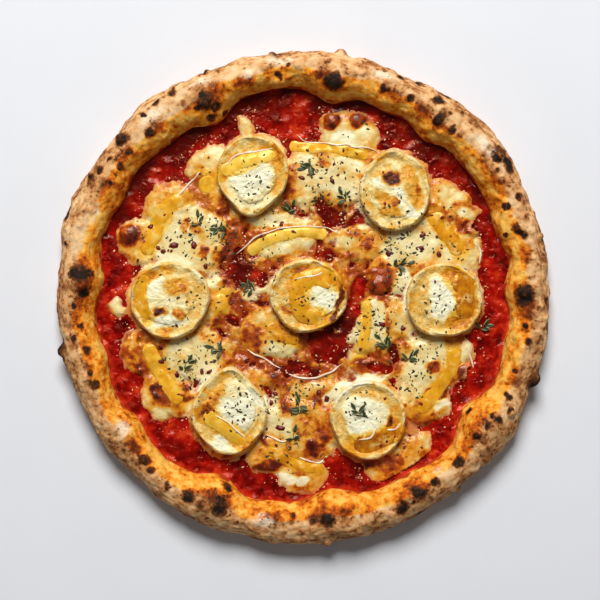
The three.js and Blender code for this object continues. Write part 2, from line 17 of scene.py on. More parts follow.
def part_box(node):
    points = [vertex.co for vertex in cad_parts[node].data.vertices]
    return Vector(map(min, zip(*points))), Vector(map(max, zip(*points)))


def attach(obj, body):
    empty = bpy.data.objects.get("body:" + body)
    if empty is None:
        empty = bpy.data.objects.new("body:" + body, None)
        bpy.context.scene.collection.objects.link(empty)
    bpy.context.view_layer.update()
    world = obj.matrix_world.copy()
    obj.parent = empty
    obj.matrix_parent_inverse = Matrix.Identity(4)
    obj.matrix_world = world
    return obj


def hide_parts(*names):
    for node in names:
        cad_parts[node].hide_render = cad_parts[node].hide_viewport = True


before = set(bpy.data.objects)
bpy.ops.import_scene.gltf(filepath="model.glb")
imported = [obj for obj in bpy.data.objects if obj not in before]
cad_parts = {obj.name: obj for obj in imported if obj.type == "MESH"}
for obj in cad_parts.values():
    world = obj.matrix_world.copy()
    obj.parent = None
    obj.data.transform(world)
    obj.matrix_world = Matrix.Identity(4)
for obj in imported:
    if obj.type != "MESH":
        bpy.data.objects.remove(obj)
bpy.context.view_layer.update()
MM = 0.001

# ---------------------------------------------------------------- measures shared with the solids

OUTER_RADIUS, CREST_RADIUS, FOOT_RADIUS = 148.5, 138.5, 126.5
UNDERCUT, RIM_HEIGHT, BELLY_HEIGHT, BASE_TOP = 17, 22, 10, 4.8
CRAG = 1
LOWER_STEPS, OUTER_STEPS, INNER_STEPS = 3, 4, 4
SAUCE_BOTTOM, SAUCE_LEVEL, SAUCE_TUCK = 5.1, 6.4, 1.2
CHEESE_BOTTOM, EDGE_CLEARANCE, GOAT_COLLAR = 7.45, 3, 1.12
GOAT_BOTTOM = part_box("goat_cheese_1")[0].z / MM

# Puffs of the rim: direction, half width, then how far the foot moves in, the crest lifts and
# the outer wall moves out.
PUFFS = [
    (2, 5, 5, 1.5, 0), (18, 6, 2.5, 0.5, 0.5), (40, 9, 0, 1, 4), (53, 5, 6, 2, 2.5), (66, 7, 4, 1, 0),
    (82, 6, 8, 3, 1), (116, 7, 10, 3.5, 0.5), (130, 6, 2.5, 0.5, 3.5), (151, 5, 2.5, 1, 0.5),
    (160, 7, 0.5, 0, 3), (175, 6, 6, 2.5, 0.5), (197, 6, 4, 1, 0), (217, 5, 4, 0.5, 0.5),
    (246, 6, 8, 2, 0), (262, 5, 2.5, 1, 0.5), (278, 8, 9, 3, 0.5), (300, 7, 2, 1, 0),
    (325, 7, 9.5, 2.5, 5), (347, 7, 1.5, 0.5, 0.5),
]

# Large blisters: direction, distance from the middle and width.
BLISTERS = [
    (1, 133, 8), (14.5, 148, 5), (17.5, 136, 6), (36, 146, 9), (52.5, 134, 9), (69, 134, 6),
    (82, 131, 13), (81, 148.5, 8), (97, 147, 6), (113, 147.5, 5), (116.5, 131, 11), (139, 145, 7),
    (150, 147, 5), (176, 133, 13), (192.5, 147.5, 9), (201, 137.5, 6), (225.5, 136, 7), (248, 136, 9),
    (276.5, 133.5, 9), (276, 148, 6), (299, 136, 9), (309, 148, 5), (322, 132.5, 7), (331, 143, 6),
    (340.5, 147.5, 11),
]

# Goat cheese rounds: middle, radii, and how far the core sits from the middle.
GOATS = [
    (-30, 74.5, 21.5, 23.5, 0.5, -2.5), (55.5, 64, 21.5, 24, 0, -1), (-80, -1.5, 24, 23.5, -2, 0.5),
    (3.5, 1, 23.5, 22, 3, -1.5), (85.5, -1.5, 23, 22.5, -0.5, 1), (-44, -69.5, 22.5, 26, 2.5, 3),
    (39.5, -74, 23, 23.5, -1, 2),
]

# Corners and flats of their outlines, a list for each round: direction, half width and how far out.
GOAT_CORNERS = [
    [(265, 22, 1.8), (225, 16, -1.2), (310, 20, -1.4), (190, 14, 0.8)],
    [(95, 18, 0.8), (35, 18, 0.8), (215, 20, -1)],
    [(330, 22, -1), (20, 18, 0.6)],
    [(255, 18, 1.2), (210, 18, -1.2), (130, 20, 1), (300, 20, -1)],
    [(225, 18, 1.2), (320, 20, 0.8), (270, 16, -0.8)],
    [(90, 20, 1), (45, 22, -1.6), (135, 22, -1.4), (185, 18, 1.2), (225, 20, -1.4), (315, 22, -1)],
    [(100, 22, 1), (200, 20, -0.8)],
]

# Their section from the underside over the lip and the sunken ring to the middle: part of the
# radius, height, how much the height wavers and how far it shifts with the core.
GOAT_SECTION = [
    (0.94, 0, 0, 0), (1, 2.4, 0.2, 0), (0.985, 5.3, 0.4, 0), (0.94, 6.8, 0.8, 0), (0.875, 6.2, 0.6, 0),
    (0.78, 5.4, 0.4, 0), (0.67, 5.6, 0.3, 0.4), (0.54, 6.6, 0.4, 0.8), (0, 7.1, 0, 1),
]

# Mozzarella: middle, radii, turn in degrees and thickness of each melted slice.
MELTS = [
    (28, 99, 19, 16, -15, 1.9), (14, 72, 29, 21, 0, 2), (-34, 103, 5, 9, 10, 1.4),
    (-55, 80, 16, 13, 30, 1.7), (87, 55, 16, 18, 40, 1.7), (102, 55, 12, 3, -10, 1.2),
    (73, 31, 26, 21, 0, 2.1), (93, 29, 16, 16, 0, 1.8), (78, -39, 27, 18, 20, 2.1),
    (73, -61, 18, 17, 0, 1.8), (55, -97, 20, 14, 20, 1.5), (69, -91, 10, 9, 0, 1.3),
    (-1, -107, 15, 12, 0, 1.6), (1, -80, 26, 21, 0, 2), (-20, -95, 15, 14, 0, 1.7),
    (-67, -34, 27, 19, -15, 2.1), (-83, -59, 16, 17, 40, 1.8), (-95, -33, 16, 15, 0, 1.7),
    (-97, 35, 16, 15, 0, 1.8), (-68, 35, 25, 23, 0, 2.1), (-79, 56, 19, 15, 30, 1.8),
    (-53, 59, 12, 13, 0, 1.5), (-52, -1, 11, 15, 0, 1.5), (-12, 36, 25, 13, 5, 1.9),
    (-24, 49, 22, 9, 0, 1.7), (36, 32, 18, 13, 0, 1.8), (54, 15, 16, 13, 0, 1.9),
    (43, -17, 16, 20, -5, 1.9), (60, -12, 11, 13, 0, 1.5), (-18, -22, 21, 17, -10, 1.8),
    (17, -57, 28, 9, 0, 1.5), (-22, -49, 18, 6, -25, 1.3),
]

# Its browned bubbles, as the slices but with how high each stands.
BUBBLES = [
    (18, 107, 5, 5, 0, 3), (33, 107, 5, 5, 0, 3), (-105, 38, 6.5, 6, 0, 3.2), (47, 8, 7, 6, 20, 3.2),
    (98, -45, 5.5, 5, 0, 2.8), (103, 41, 4.5, 4.5, 0, 2.6),
]

# The drop that lies alone, and the pools of bare sauce: middle, radii and turn.
ISLET = (-112.5, -6, 5, 5.5, 0)
POOLS = [
    (16, 51, 10, 7, -20), (10.5, 35, 3, 9, 0), (17, 26, 4, 3.5, -30), (-39, 16, 9, 12, -8),
    (-26, 13, 5, 7, 0), (-25, -3, 6, 3, 0), (-43, -13, 6, 6, 0), (33, 4, 5, 8, -10),
    (28, -9, 5, 8, -25), (23.5, -16, 6.5, 7, 0), (13, -28, 13, 10.5, -25), (-3, -44, 13, 4, -5),
    (45, -43, 9, 4, 10), (56, -35, 3, 5, 0),
]

# Honey ribbons on the mozzarella: width, points that the ribbon passes through, and how deep its
# colour is.
HONEY = [
    (6.3, [(-8, 92), (4, 91), (15, 90.5), (27, 88.5), (36, 86.5), (40, 88)], 0.32),
    (9.5, [(79, 51), (84, 43), (90, 35.5), (95.5, 26)], 0.5),
    (8, [(91, -31), (91.5, -39), (86, -50), (77, -62), (71, -70)], 0.42),
    (6, [(-20, -92), (-10, -98.5), (2, -103), (13, -103.5)], 0.48),
    (8.5, [(-94, -28), (-91, -36), (-86, -46), (-79, -56.5), (-74, -64)], 0.34),
    (8.5, [(-72, 60), (-81, 55.5), (-87, 46), (-90.5, 36), (-96, 26)], 0.38),
    (6.5, [(-33, 27), (-20, 35), (-2, 39.5), (15, 38.5)], 0.16),
    (5.8, [(38.5, -3), (39, -14), (37.5, -25), (33, -34)], 0.26),
    (6, [(-20.5, -16), (-13, -24), (-2, -26)], 0.55),
]

# Sprigs of thyme: place, direction in degrees and pairs of leaves below the tip.
SPRIGS = [
    (-63, 47, 100, 2), (-50, 41, 170, 2), (3, 79, 200, 2), (25, 61, 120, 2), (-7, 54, 60, 2),
    (61, 20, 10, 3), (-32, 6, 150, 2), (-52, -31, 160, 3), (-70, -40, 60, 2), (-2, -66, 90, 3),
    (49, -27, 130, 3), (34, -69, 140, 3), (110, -18, 20, 2), (-5, -83, 80, 2), (66, -36, 40, 2),
]
LEAF_LENGTH, LEAF_WIDTH = 5.2, 2.3
PAIR_SPACING, STEM_RADIUS = 3, 0.4

# Chili flakes: place, direction in degrees and length.
FLAKES = [
    (-92, 43, 20, 3.8), (-78, 31.5, 10, 5.4), (-66, 32, 100, 5), (-87.5, 30, 150, 3.6),
    (-84.5, 28, 40, 3.6), (-58.7, 19, 80, 4.2), (-12.8, 44.7, 60, 4), (17.8, 70.8, 120, 4.4),
    (-0.5, 72.5, 160, 4.6), (73, 37.8, 30, 3.8), (72.3, 30, 150, 4.2), (82.7, 26, 95, 3.8),
    (-86, -30.5, 60, 4), (-85.4, -38.7, 150, 3.6), (-76, -47, 40, 4), (-61, -45, 110, 4.2),
    (-56.5, -45, 30, 4), (-64.5, -51.5, 60, 4.2), (-19, -64, 90, 4), (-13.5, -79, 170, 5.4),
    (-16.6, -58.2, 170, 4), (48.5, -16.3, 150, 5), (61, -19, 20, 3.6), (52.2, 26.7, 110, 4.6),
    (14.7, -61.5, 80, 4), (9.8, -57.5, 30, 3.8),
]

# ---------------------------------------------------------------- what only the surface shows

# Where flecks of dried herb fell: place, spread and how many.
HERBS = [
    (-31, 70, 14, 26), (57, 57, 11, 12), (-68, -4, 9, 12), (81, -4, 11, 24), (-37, -67, 12, 32),
    (37, -68, 13, 28), (-68, 38, 18, 44), (-50, 42, 10, 44), (-46, 33, 8, 24), (-17, 47, 14, 22),
    (-14, 30, 11, 12), (22, 74, 18, 34), (4, 81, 9, 22), (12, 61, 13, 44), (33, 57, 10, 18),
    (33, 40, 12, 20), (57, 34, 13, 50), (73, 36, 13, 24), (60, 20, 9, 22), (-54, 14, 8, 14),
    (-33, 4, 9, 22), (-67, -38, 18, 56), (-55, -30, 8, 16), (-18, -28, 15, 18), (-19, -68, 9, 20),
    (-3, -64, 11, 28), (-5, -83, 10, 18), (45, -14, 11, 40), (34, -20, 8, 16), (50, -28, 10, 22),
    (57, -36, 8, 22), (75, -35, 14, 40), (66, -53, 10, 28), (57, 8, 8, 24), (-48, 0, 7, 8),
    (28, 98, 13, 8), (-98, 38, 9, 5), (3, -55, 16, 24), (-65, -52, 9, 16), (64, -92, 9, 10),
    (-10, -97, 14, 12), (88, 55, 12, 12), (93, 30, 10, 8), (-57, 84, 11, 8), (0, 0, 105, 190),
]

# Honey that lies over the goat cheese and in small patches: width, points and depth of colour.
GOAT_HONEY = [
    (7.4, [(-49, 75.5), (-37.5, 80.8), (-25, 84.6), (-16, 86.5)], 0.12),
    (8.5, [(-59, 74), (-58, 69), (-58, 63)], 0.3), (7.5, [(-49, 2.5), (-49.5, -3), (-49, -8.5)], 0.4),
    (6.5, [(-94, 13), (-97.5, 4), (-96.5, -5), (-92, -13)], 0.45),
    (10.5, [(21, 10), (9, 12.3), (-1, 8), (-3, -2), (1.5, -10), (14, -14)], 0.42),
    (11, [(91, 13), (97.5, 6), (98, -5), (95, -13)], 0.68),
    (8, [(-59, -70), (-46, -79.5), (-34, -88)], 0.26),
    (10, [(31, -89), (44, -87), (56, -80)], 0.7),
]

# Thin strings of melted cheese, most of them along the honey's edges. Their pale colour also stands for the
# bright highlight lines there, so they are partly painted highlight.
THREADS = [
    [(-3, 98.5), (1.5, 95), (9, 94.2), (20, 93), (27, 93), (32, 90.8), (40, 90.4), (45, 88.2)],
    [(-81.5, 57), (-71.5, 66), (-62.5, 76)],
    [(-40, 27), (-25, 38), (-8.5, 42.5), (9, 43), (22.5, 40)],
    [(-9, -46), (-1, -48.5), (9, -49), (17.5, -45.5), (25, -40)],
    [(-34, -32), (-26.5, -35), (-20, -39.5), (-13, -42.5)],
    [(-2, -97), (3, -99), (10.5, -100.5), (13.5, -98)],
    [(-22, -84), (-13, -87.5), (-8.5, -85.5)],
    [(105, 32.5), (108, 27.5), (107, 20.5)],
    [(100, -28), (102, -35), (103.5, -42.5)],
    [(-46.5, 79), (-37.5, 86.5), (-27.5, 88), (-17.5, 89.5)],
    [(-5, 10.5), (5.5, 13), (14.5, 15.5)],
    [(-53.5, -70.5), (-45.5, -75), (-34, -85)],
    [(33.5, -86), (40.5, -84), (45.5, -77.5)],
    [(51, -79.5), (55.5, -79), (58.5, -75.5)],
]

# Charred places of the rim: direction, distance from the middle, width round and width across.
CHARS = [
    (0.3, 133, 17, 13), (36, 146, 9, 5), (52.5, 134, 7, 12), (82, 131, 12, 13), (36, 143, 9, 7),
    (174, 134, 12, 15), (179, 131, 7, 8), (116.5, 131, 12, 12), (248, 136, 13, 9), (248, 124, 8, 6),
    (276.5, 133.5, 9, 8), (300.5, 136, 10, 10), (295, 140, 6, 5), (17.5, 136, 9, 4), (24, 135.5, 4, 4),
    (25.4, 144, 4, 3), (51.4, 141.5, 3, 3), (61.7, 137, 4, 3), (66, 145, 4, 3), (69, 134, 5, 5),
    (84, 141.5, 4, 3), (93.7, 140, 4, 3), (96.2, 134, 4, 4), (97, 147, 5, 4), (122, 146, 3, 3),
    (127, 147.5, 5, 3), (131, 146.5, 4, 3), (133, 135.5, 6, 4), (139, 145, 8, 6), (144.5, 142, 4, 3),
    (148, 143.5, 4, 4), (150, 146.5, 5, 4), (167, 146, 4, 3), (201, 137.5, 6, 5), (225.5, 136, 7, 5),
    (240, 138.5, 6, 6), (273, 133, 6, 5), (313, 134.5, 5, 4), (321.5, 132.5, 7, 6), (325.5, 135, 4, 4),
    (328, 135, 4, 4), (334, 135, 5, 4), (331, 142, 6, 5), (325.5, 121, 6, 4), (348.5, 138, 7, 4),
    (359, 146, 4, 3), (14.5, 149, 8, 5), (54.6, 149, 4, 3), (61.4, 148.5, 4, 3), (81, 149, 10, 6),
    (101.4, 148, 4, 3), (113, 147.5, 5, 4), (160.6, 150.5, 7, 5), (56.5, 149, 6, 4), (33, 147, 12, 8),
    (192.5, 148, 14, 10), (243, 148, 5, 4), (276, 148.5, 9, 6), (101, 149, 7, 5), (96.5, 149, 6, 5),
    (290.7, 148, 4, 3), (299, 148, 8, 6), (309, 148, 6, 4), (340.5, 148, 15, 12),
]

# Smaller scorched spots of the rim: place and width.
SCORCHES = [
    (-17, 145.5, 3), (-14, 133, 5), (-95, 110, 5), (-88, 118, 5), (-78, 122.5, 5), (-109, 95, 8),
    (-127, 73.5, 6), (-121, 77, 5), (-115, 83, 4), (-144, 54, 4), (-92, 99, 7), (-104, 87, 6),
    (-109, 78, 5), (-115, 69, 4), (15, 141, 4), (71, 129, 5), (87, 122, 6), (59, 133, 4), (48, 125, 4),
    (65, 119.5, 6), (82, 118, 8), (90, 100, 6), (118, 86, 9), (130, 61, 5), (122.5, 55, 6),
    (128, 42, 6), (133, 37, 5), (145.5, 37, 4), (122.5, 38, 4), (-137, -5, 4), (-133, -17, 5),
    (-127, -46, 6), (-124, -52, 5), (-95, -96.5, 7), (-91, -103, 5), (-69, -119, 8), (-46, -114, 6),
    (-50, -124, 12), (-81, -114, 5), (-6, -130, 5), (135, -4, 5), (99, -69, 5), (104, -83, 5),
    (122.5, -60, 5), (124, -70, 5), (117, -73.5, 5), (93.5, -98, 7), (79, -110, 6), (67, -116, 6),
    (66, -121, 6), (60, -126, 9), (16, -132, 6), (6, -132, 7), (9, -118, 4), (134, -17, 4),
    (127, -44.5, 4), (95, -116, 4), (73.5, -132, 5), (53, -141, 5), (17, -149, 4), (-58, 119, 7),
    (-52, 114, 8), (-63, 113, 6), (-55, 108, 7), (-47, 111, 5), (-135, 12, 8), (-131, 4, 7),
    (-128, 15, 6), (-137, -25, 5), (-129, -31, 6),
]

# Golden brown places of the rim.
TOASTS = [
    (48, 136, 16, 10), (183, 138, 12, 6), (116.5, 132, 26, 20), (358, 134, 26, 14), (10, 136, 16, 8),
    (82, 133, 22, 16), (66, 134, 16, 10), (130, 137, 16, 12), (176, 133, 30, 18), (200, 136, 16, 8),
    (222, 135, 12, 7), (247, 133, 24, 15), (262, 134, 10, 8), (277, 132, 22, 16), (301, 136, 20, 14),
    (323, 133, 22, 15), (340, 136, 16, 9), (150, 137, 16, 8), (30, 136, 16, 8), (105, 135, 14, 8),
    (57, 135, 18, 12), (36, 140, 20, 14), (141, 138, 14, 8),
]

# Floury places of the rim. Those on the far outer wall and on the near crest lie where the rim faces the
# light, and their pale is partly painted highlight.
FLOUR_AND_HIGHLIGHT_PLACES = [
    (216, 133, 12, 8), (260, 135.5, 12, 7), (308, 132.5, 7, 6), (103.5, 138, 7, 5), (158, 134, 12, 3),
    (40, 142, 16, 7), (130, 142, 16, 7), (70, 142, 14, 6), (95, 143, 16, 6), (115, 143, 14, 6),
]

# Marks on the mozzarella: kind, middle, radii and turn. Later ones lie over earlier ones.
CHEESE_MARKS = [
    ("tan", 86, 64, 8, 7, 30), ("cream", 90, 60, 6, 7, 30), ("gold", 95, 50, 4, 8, 30),
    ("tan", 102, 47, 6, 9, 10), ("toast", 98, 44, 5, 4, 0), ("toast", 101, 56, 7, 2.5, -10),
    ("cream", 6, 101, 5, 4, 0), ("tan", 44, 96, 4, 7, 0), ("gold", -3, 93, 6, 4, 0),
    ("tan", 33, 38, 14, 9, 0), ("cream", 22, 33, 7, 4, -30), ("cream", 36, 45, 9, 4, 20),
    ("toast", 46, 19, 10, 6, 10), ("toast", 30, 39, 4, 3, 0), ("toast", 38, 33, 4, 3, 0),
    ("tan", 31, 50, 5, 6, 0), ("toast", 52, -13, 5, 9, 0), ("tan", 58, -8, 6, 14, 0),
    ("gold", 57, -34, 5, 12, 0), ("tan", -28, -22, 9, 13, 10), ("toast", -31, -24, 5, 10, 0),
    ("toast", -36, -38, 14, 5, -30), ("brown", -28, -41, 10, 3, -20), ("gold", -44, -24, 6, 6, 0),
    ("toast", -50, -14, 7, 5, 10), ("toast", -38, -4, 7, 5, 0), ("brown", -38, -2, 4, 3, 0),
    ("toast", -46, 34, 5, 14, 0), ("brown", -47, 26, 5, 6, 0), ("toast", -49, 56, 5, 6, 0),
    ("brown", -42, 40, 3, 8, 0), ("tan", -70, 66, 9, 6, 40), ("toast", -66, 70, 6, 4, 40),
    ("tan", -57, 80, 13, 7, 0), ("cream", -57, 88, 11, 7, 0), ("cream", -33, 103, 4, 9, 0),
    ("tan", -104, 40, 9, 11, 0), ("gold", -96, -33, 6, 12, 0), ("toast", -98, -37, 4, 7, 0),
    ("toast", -94, -46, 5, 5, 0), ("gold", -80, -64, 10, 8, -40), ("brown", -86, -58.5, 6, 4.5, -30),
    ("brown", -69, -62, 3, 3, 0), ("gold", -24, -47, 13, 4, -20), ("toast", -16, -48, 8, 3, -10),
    ("tan", 4, -56, 18, 6, 0), ("gold", 20, -52, 5, 4, 0), ("toast", 11, -66, 5, 10, -10),
    ("gold", 6, -74, 9, 14, 0), ("toast", 2, -72, 4, 5, 0), ("gold", -3, -95, 20, 7, 0),
    ("brown", -21, -102, 9, 3, 10), ("brown", 8, -91, 5, 4, 10), ("toast", 12, -83, 6, 5, 0),
    ("tan", -17, -84, 5, 5, 0), ("toast", 44, -40, 13, 5, 5), ("brown", 40, -43, 5, 3, 0),
    ("gold", 88, -42, 7, 14, 10), ("gold", 80, -62, 10, 8, 30), ("brown", 83, -57.5, 8, 5, 15),
    ("gold", 66, -72, 5, 14, -15), ("toast", 68, -79, 4, 8, -20), ("tan", 64, -92, 8, 8, 30),
    ("toast", 50, -100, 12, 4, 15), ("brown", 34, -103, 10, 3, 5), ("toast", 95, -45, 6, 8, 0),
    ("gold", 70, 6, 4, 6, 0), ("gold", -10, 22, 14, 4, 10), ("cream", -68, 38, 16, 15, 0),
    ("cream", 22, 73, 22, 12, -5), ("cream", -2, 84, 8, 4, 0), ("cream", 37, 53, 5, 9, 10),
    ("cream", 28, 98, 14, 8, 0), ("white", 26, 97, 6, 4, 0), ("cream", -17, 47, 15, 4, 5),
    ("cream", -14, 30, 12, 5, 15), ("cream", 68, 36, 13, 13, 0), ("cream", 56, 28, 9, 8, 0),
    ("cream", 100, 51, 5, 4, 0), ("cream", 58, 9, 5, 8, 0), ("cream", -54, 13, 5, 7, 0),
    ("cream", -24, 4, 5, 3, -20), ("cream", -31, 1, 5, 4, 0), ("cream", -111, -3, 5, 6, 0),
    ("cream", -13, -33, 11, 5, -15), ("cream", 32, -20, 6, 15, -10), ("cream", 45, -12, 4, 13, 0),
    ("cream", 75, -34, 11, 14, 0), ("cream", 100, -30, 4, 8, 0), ("cream", 65, -54, 7, 10, -10),
    ("cream", -67, -38, 16, 13, -15), ("cream", -19, -68, 6, 12, 0), ("white", -9, -109.5, 6, 2.6, -15),
    ("white", 1, -113, 4, 2.4, 10), ("cream", 105, 30, 2.5, 9, 0), ("cream", -110, 44, 3, 8, -20),
    ("cream", -98, 27, 5, 3, 0), ("white", 86, -65, 8, 2.5, 8), ("cream", 99, -33, 2.5, 8, 0),
    ("cream", -85.5, -69.3, 6, 3, 0), ("toast", -70.8, 43.3, 2.6, 2.4, 0),
    ("toast", -64, 41.2, 3, 2.4, 0), ("toast", -59, 27.4, 3.2, 2.8, 0), ("toast", 79, -41.6, 3, 3, 0),
    ("toast", -68, -55, 3, 2.5, 0), ("gold", 37, 72, 3, 3, 0), ("gold", 14, 81, 3, 2, 0),
    ("white", -80, 22.5, 13, 3.4, -12), ("white", 64.5, 2, 3, 12, 0), ("white", 34, -50.5, 15, 2.8, 10),
    ("white", 19, -59, 3.5, 6, -40), ("white", -60, -52, 3.5, 10, -48),
    ("white", -24, -62, 2.5, 8, -35), ("toast", 44, 14, 13, 7, 0), ("brown", 46.5, 7.5, 8, 7, 0),
    ("brown", 18, 107.2, 4.6, 4.2, 0), ("brown", 34.5, 107.6, 5, 4.4, 0),
    ("brown", -106, 38, 6.5, 6, 0), ("brown", 97.5, -46, 3.8, 5, 0), ("brown", 26.5, 88, 2.4, 2, 0),
]

# How far each kind of mark is cooked, 0 to 1.
COOKED = {"white": -0.1, "cream": 0.16, "tan": 0.34, "gold": 0.47, "toast": 0.62, "brown": 0.82}

# Marks on the goat cheese, a list for each round: kind, place from its middle, radii and turn.
GOAT_MARKS = [
    # The first round's tan crescent at its top, at (-3, 14), is painted shade in the sunken ring under the
    # far lip.
    [("tan", -3, 14, 13, 3, 12), ("gold", 15.5, 1, 3.5, 11, 5), ("gold", 13, 9, 4, 4, 0),
     ("gold", -15, 2, 4, 4, 0), ("white", -1, -4.5, 12, 9, 15), ("cream", 0, -17, 14, 4, 0)],
    [("cream", 0, 0, 14, 15, 0), ("white", 3.6, -2.6, 4.5, 6, 0), ("white", -10.5, 7, 5, 4, 0),
     ("white", 12, -12, 5, 4, 0), ("gold", 9, 6, 4.5, 10, 10), ("gold", 13.5, -4, 3, 7, 0),
     ("gold", -6, -6, 8, 3, -40), ("gold", -3, -11.5, 6, 3, 0), ("toast", 14, 0, 2, 4, 0),
     ("toast", 0, -6, 3, 2, 0), ("tan", -9, 13, 8, 3, 40), ("brown", -2, 8.5, 5.2, 4.4, 0)],
    [("white", -7.5, 8, 5, 8, 10), ("cream", -3.5, -2, 8, 7, 0), ("white", -1, -13, 11, 4, 5),
     ("gold", 5.5, 8.5, 9, 5, 0), ("toast", 7, 7, 4, 3, 0), ("brown", -4.5, -7.2, 3.6, 3.2, 0),
     ("toast", 5.5, -9.5, 3, 3, 0), ("gold", -7, 16.5, 11, 3, 15), ("tan", 14, -2, 4, 12, 0)],
    [("gold", -6, 12, 10, 4, 20), ("toast", -6, 14, 7, 2.5, 15), ("tan", -13, -3, 5, 13, 0),
     ("white", 10.5, -1.5, 6.5, 8.5, 0), ("brown", 19, -1, 1.8, 8, -8), ("brown", 16, -12, 4, 2.4, 45),
     ("toast", -13, -9, 4, 2, -40)],
    [("white", -2, 1, 9.5, 12, 0), ("gold", 4, 16, 9, 3, -15), ("toast", 8, 14.5, 4, 2, -30),
     ("tan", -13, 2, 4, 13, 0), ("gold", 11, 5, 4, 11, 10), ("brown", 13, 1.5, 3, 1.6, 0),
     ("gold", 6, -14, 8, 3, 10), ("tan", -6, -14, 7, 3, -15)],
    [("gold", -10, 8, 4, 13, -35), ("toast", -12, 5, 2.4, 9, -35), ("brown", -13.5, -1, 3, 3, 0),
     ("white", 5, 1, 9, 10, 0), ("cream", 6, 15, 8, 5, -10), ("white", 16, 9, 3, 7, 35),
     ("white", -6, -18, 8, 3, -30), ("tan", -13, -10, 3, 7, 20)],
    [("white", -4, 3, 12, 11, 0), ("white", -10, 19, 12, 3, 25), ("tan", 4, 15, 13, 3, -15),
     ("gold", 14, 0, 2.5, 8, 0), ("brown", 13, -1, 1.6, 4, 0), ("gold", 8, -11, 12, 4, 20),
     ("toast", 4, -13, 5, 2, 0), ("tan", -15, -5, 3, 10, 10)],
]
GOAT_COOKED = {"white": 0.02, "cream": 0.17, "tan": 0.42, "gold": 0.56, "toast": 0.72, "brown": 0.94}

# ---------------------------------------------------------------- fineness and numbers of pieces

CRUST_COLUMNS = 1200
CRUST_FINENESS = [4] * LOWER_STEPS + [7] * OUTER_STEPS + [8] * INNER_STEPS
SAUCE_CELLS = 296
CHEESE_CELL = 0.89
GOAT_COLUMNS = 190
GOAT_FINENESS = [5, 5, 8, 8, 8, 8, 8, 14]
RIBBON_COLUMNS, CURVE_STEP = 11, 0.8
STEM_POINTS, STEM_SIDES = 9, 6
SMALL_BLISTERS, SMALL_BUBBLES = 420, 900
CHILI_COUNT, CRUMB_COUNT = 150, 520

# ---------------------------------------------------------------- fine relief and reach

# How high a large blister stands, as a share of its width, outside and inside OUTER_BLISTERS.
OUTER_BLISTERS, OUTER_LIFT, INNER_LIFT = 142, 0.34, 0.2
SMALL_LIFT = 0.16
BUBBLE_LIFT = 0.35
# Where things fall: from the middle to this distance.
BUBBLE_REACH, CHILI_REACH, CRUMB_REACH, CHEESE_REACH = 112, 104, 118, 122
HONEY_THICKNESS, HONEY_DEPTH_BELOW = 0.55, 0.6
STAIN_FADE, GOAT_STAIN_FADE = 3.5, 4
# Rows of GOAT_SECTION where the rind's lip and the sunken ring are, and where the core begins.
LIP_ROW, LIP_SPREAD, RING_ROW, RING_SPREAD, CORE_ROWS = 3.3, 1.3, 5.2, 1.1, (4.8, 6.2)

# ---------------------------------------------------------------- numbers and noise


def random_from(seed):
    """The same pseudo-random numbers each time, from 0 to 1."""
    state = seed
    while True:
        state = (state * 1664525 + 1013904223) % 4294967296
        yield state / 4294967296


def smooth(value, low=0.0, high=1.0):
    """0 below low, 1 above high, and a soft step between."""
    share = np.clip((value - low) / (high - low), 0, 1)
    return share * share * (3 - 2 * share)


def lattice(corner, seed):
    """A repeatable random number from -1 to 1 at each whole-number point."""
    mixed = (corner @ np.array([374761393, 668265263, 1274126177]) + seed * 974634777) & 0xFFFFFFFF
    mixed = ((mixed ^ (mixed >> 13)) * 1103515245) & 0xFFFFFFFF
    mixed = ((mixed ^ (mixed >> 15)) * 1540483477) & 0xFFFFFFFF
    return (mixed ^ (mixed >> 14)) / 2147483648 - 1


def noise(points, size, seed):
    """Smooth random lumps of one size at points (..., 3), from -1 to 1."""
    place = points / size
    corner = np.floor(place).astype(np.int64)
    inside = place - corner
    inside = inside * inside * (3 - 2 * inside)
    total = 0
    for offset in itertools.product((0, 1), repeat=3):
        weight = np.prod(np.where(offset, inside, 1 - inside), axis=-1)
        total = total + weight * lattice(corner + offset, seed)
    return total


TILT = np.array([[0.80, 0.36, -0.48], [-0.60, 0.48, -0.64], [0, 0.80, 0.60]])


def fractal(points, size, seed, octaves=3):
    """Lumps on lumps: each octave is turned, half the size and half the height."""
    total = 0
    for octave in range(octaves):
        total = total + noise(points, size / 2 ** octave, seed + octave) / 2 ** octave
        points = points @ TILT
    return total


def wander(points, size, seed, octaves):
    """Lumps in each of three directions, to move points about by."""
    return np.stack([fractal(points, size, seed + way, octaves) for way in range(3)], axis=-1)


def flat_points(x, y):
    return np.stack([x, y, np.zeros_like(x)], axis=-1)


def warped(x, y, amount, size, seed, octaves=3):
    """A flat place moved about by noise."""
    place = flat_points(x, y)
    return (x + amount * fractal(place, size, seed, octaves),
            y + amount * fractal(place, size, seed + 10, octaves))


def cos_sin(angle):
    a = np.radians(angle)
    return np.cos(a), np.sin(a)


def waver(angle, seed):
    """A wave round the pizza or a cheese, from -1 to 1."""
    a = np.radians(angle)
    return (0.5 * np.sin(3 * a + seed) + 0.3 * np.sin(7 * a + 2.3 * seed)
            + 0.2 * np.sin(13 * a + 4.1 * seed))


def swell(angle, at, half):
    """1 in one direction, fading to both sides."""
    return np.exp(-(((angle - at + 180) % 360 - 180) / half) ** 2)


def reach_in(ellipse, x, y):
    """How far out a point is in an ellipse (x, y, across, along, turn): 1 on its edge."""
    middle_x, middle_y, across, along, turn = ellipse[:5]
    c, s = math.cos(math.radians(turn)), math.sin(math.radians(turn))
    u = ((x - middle_x) * c + (y - middle_y) * s) / across
    v = ((y - middle_y) * c - (x - middle_x) * s) / along
    return np.hypot(u, v)


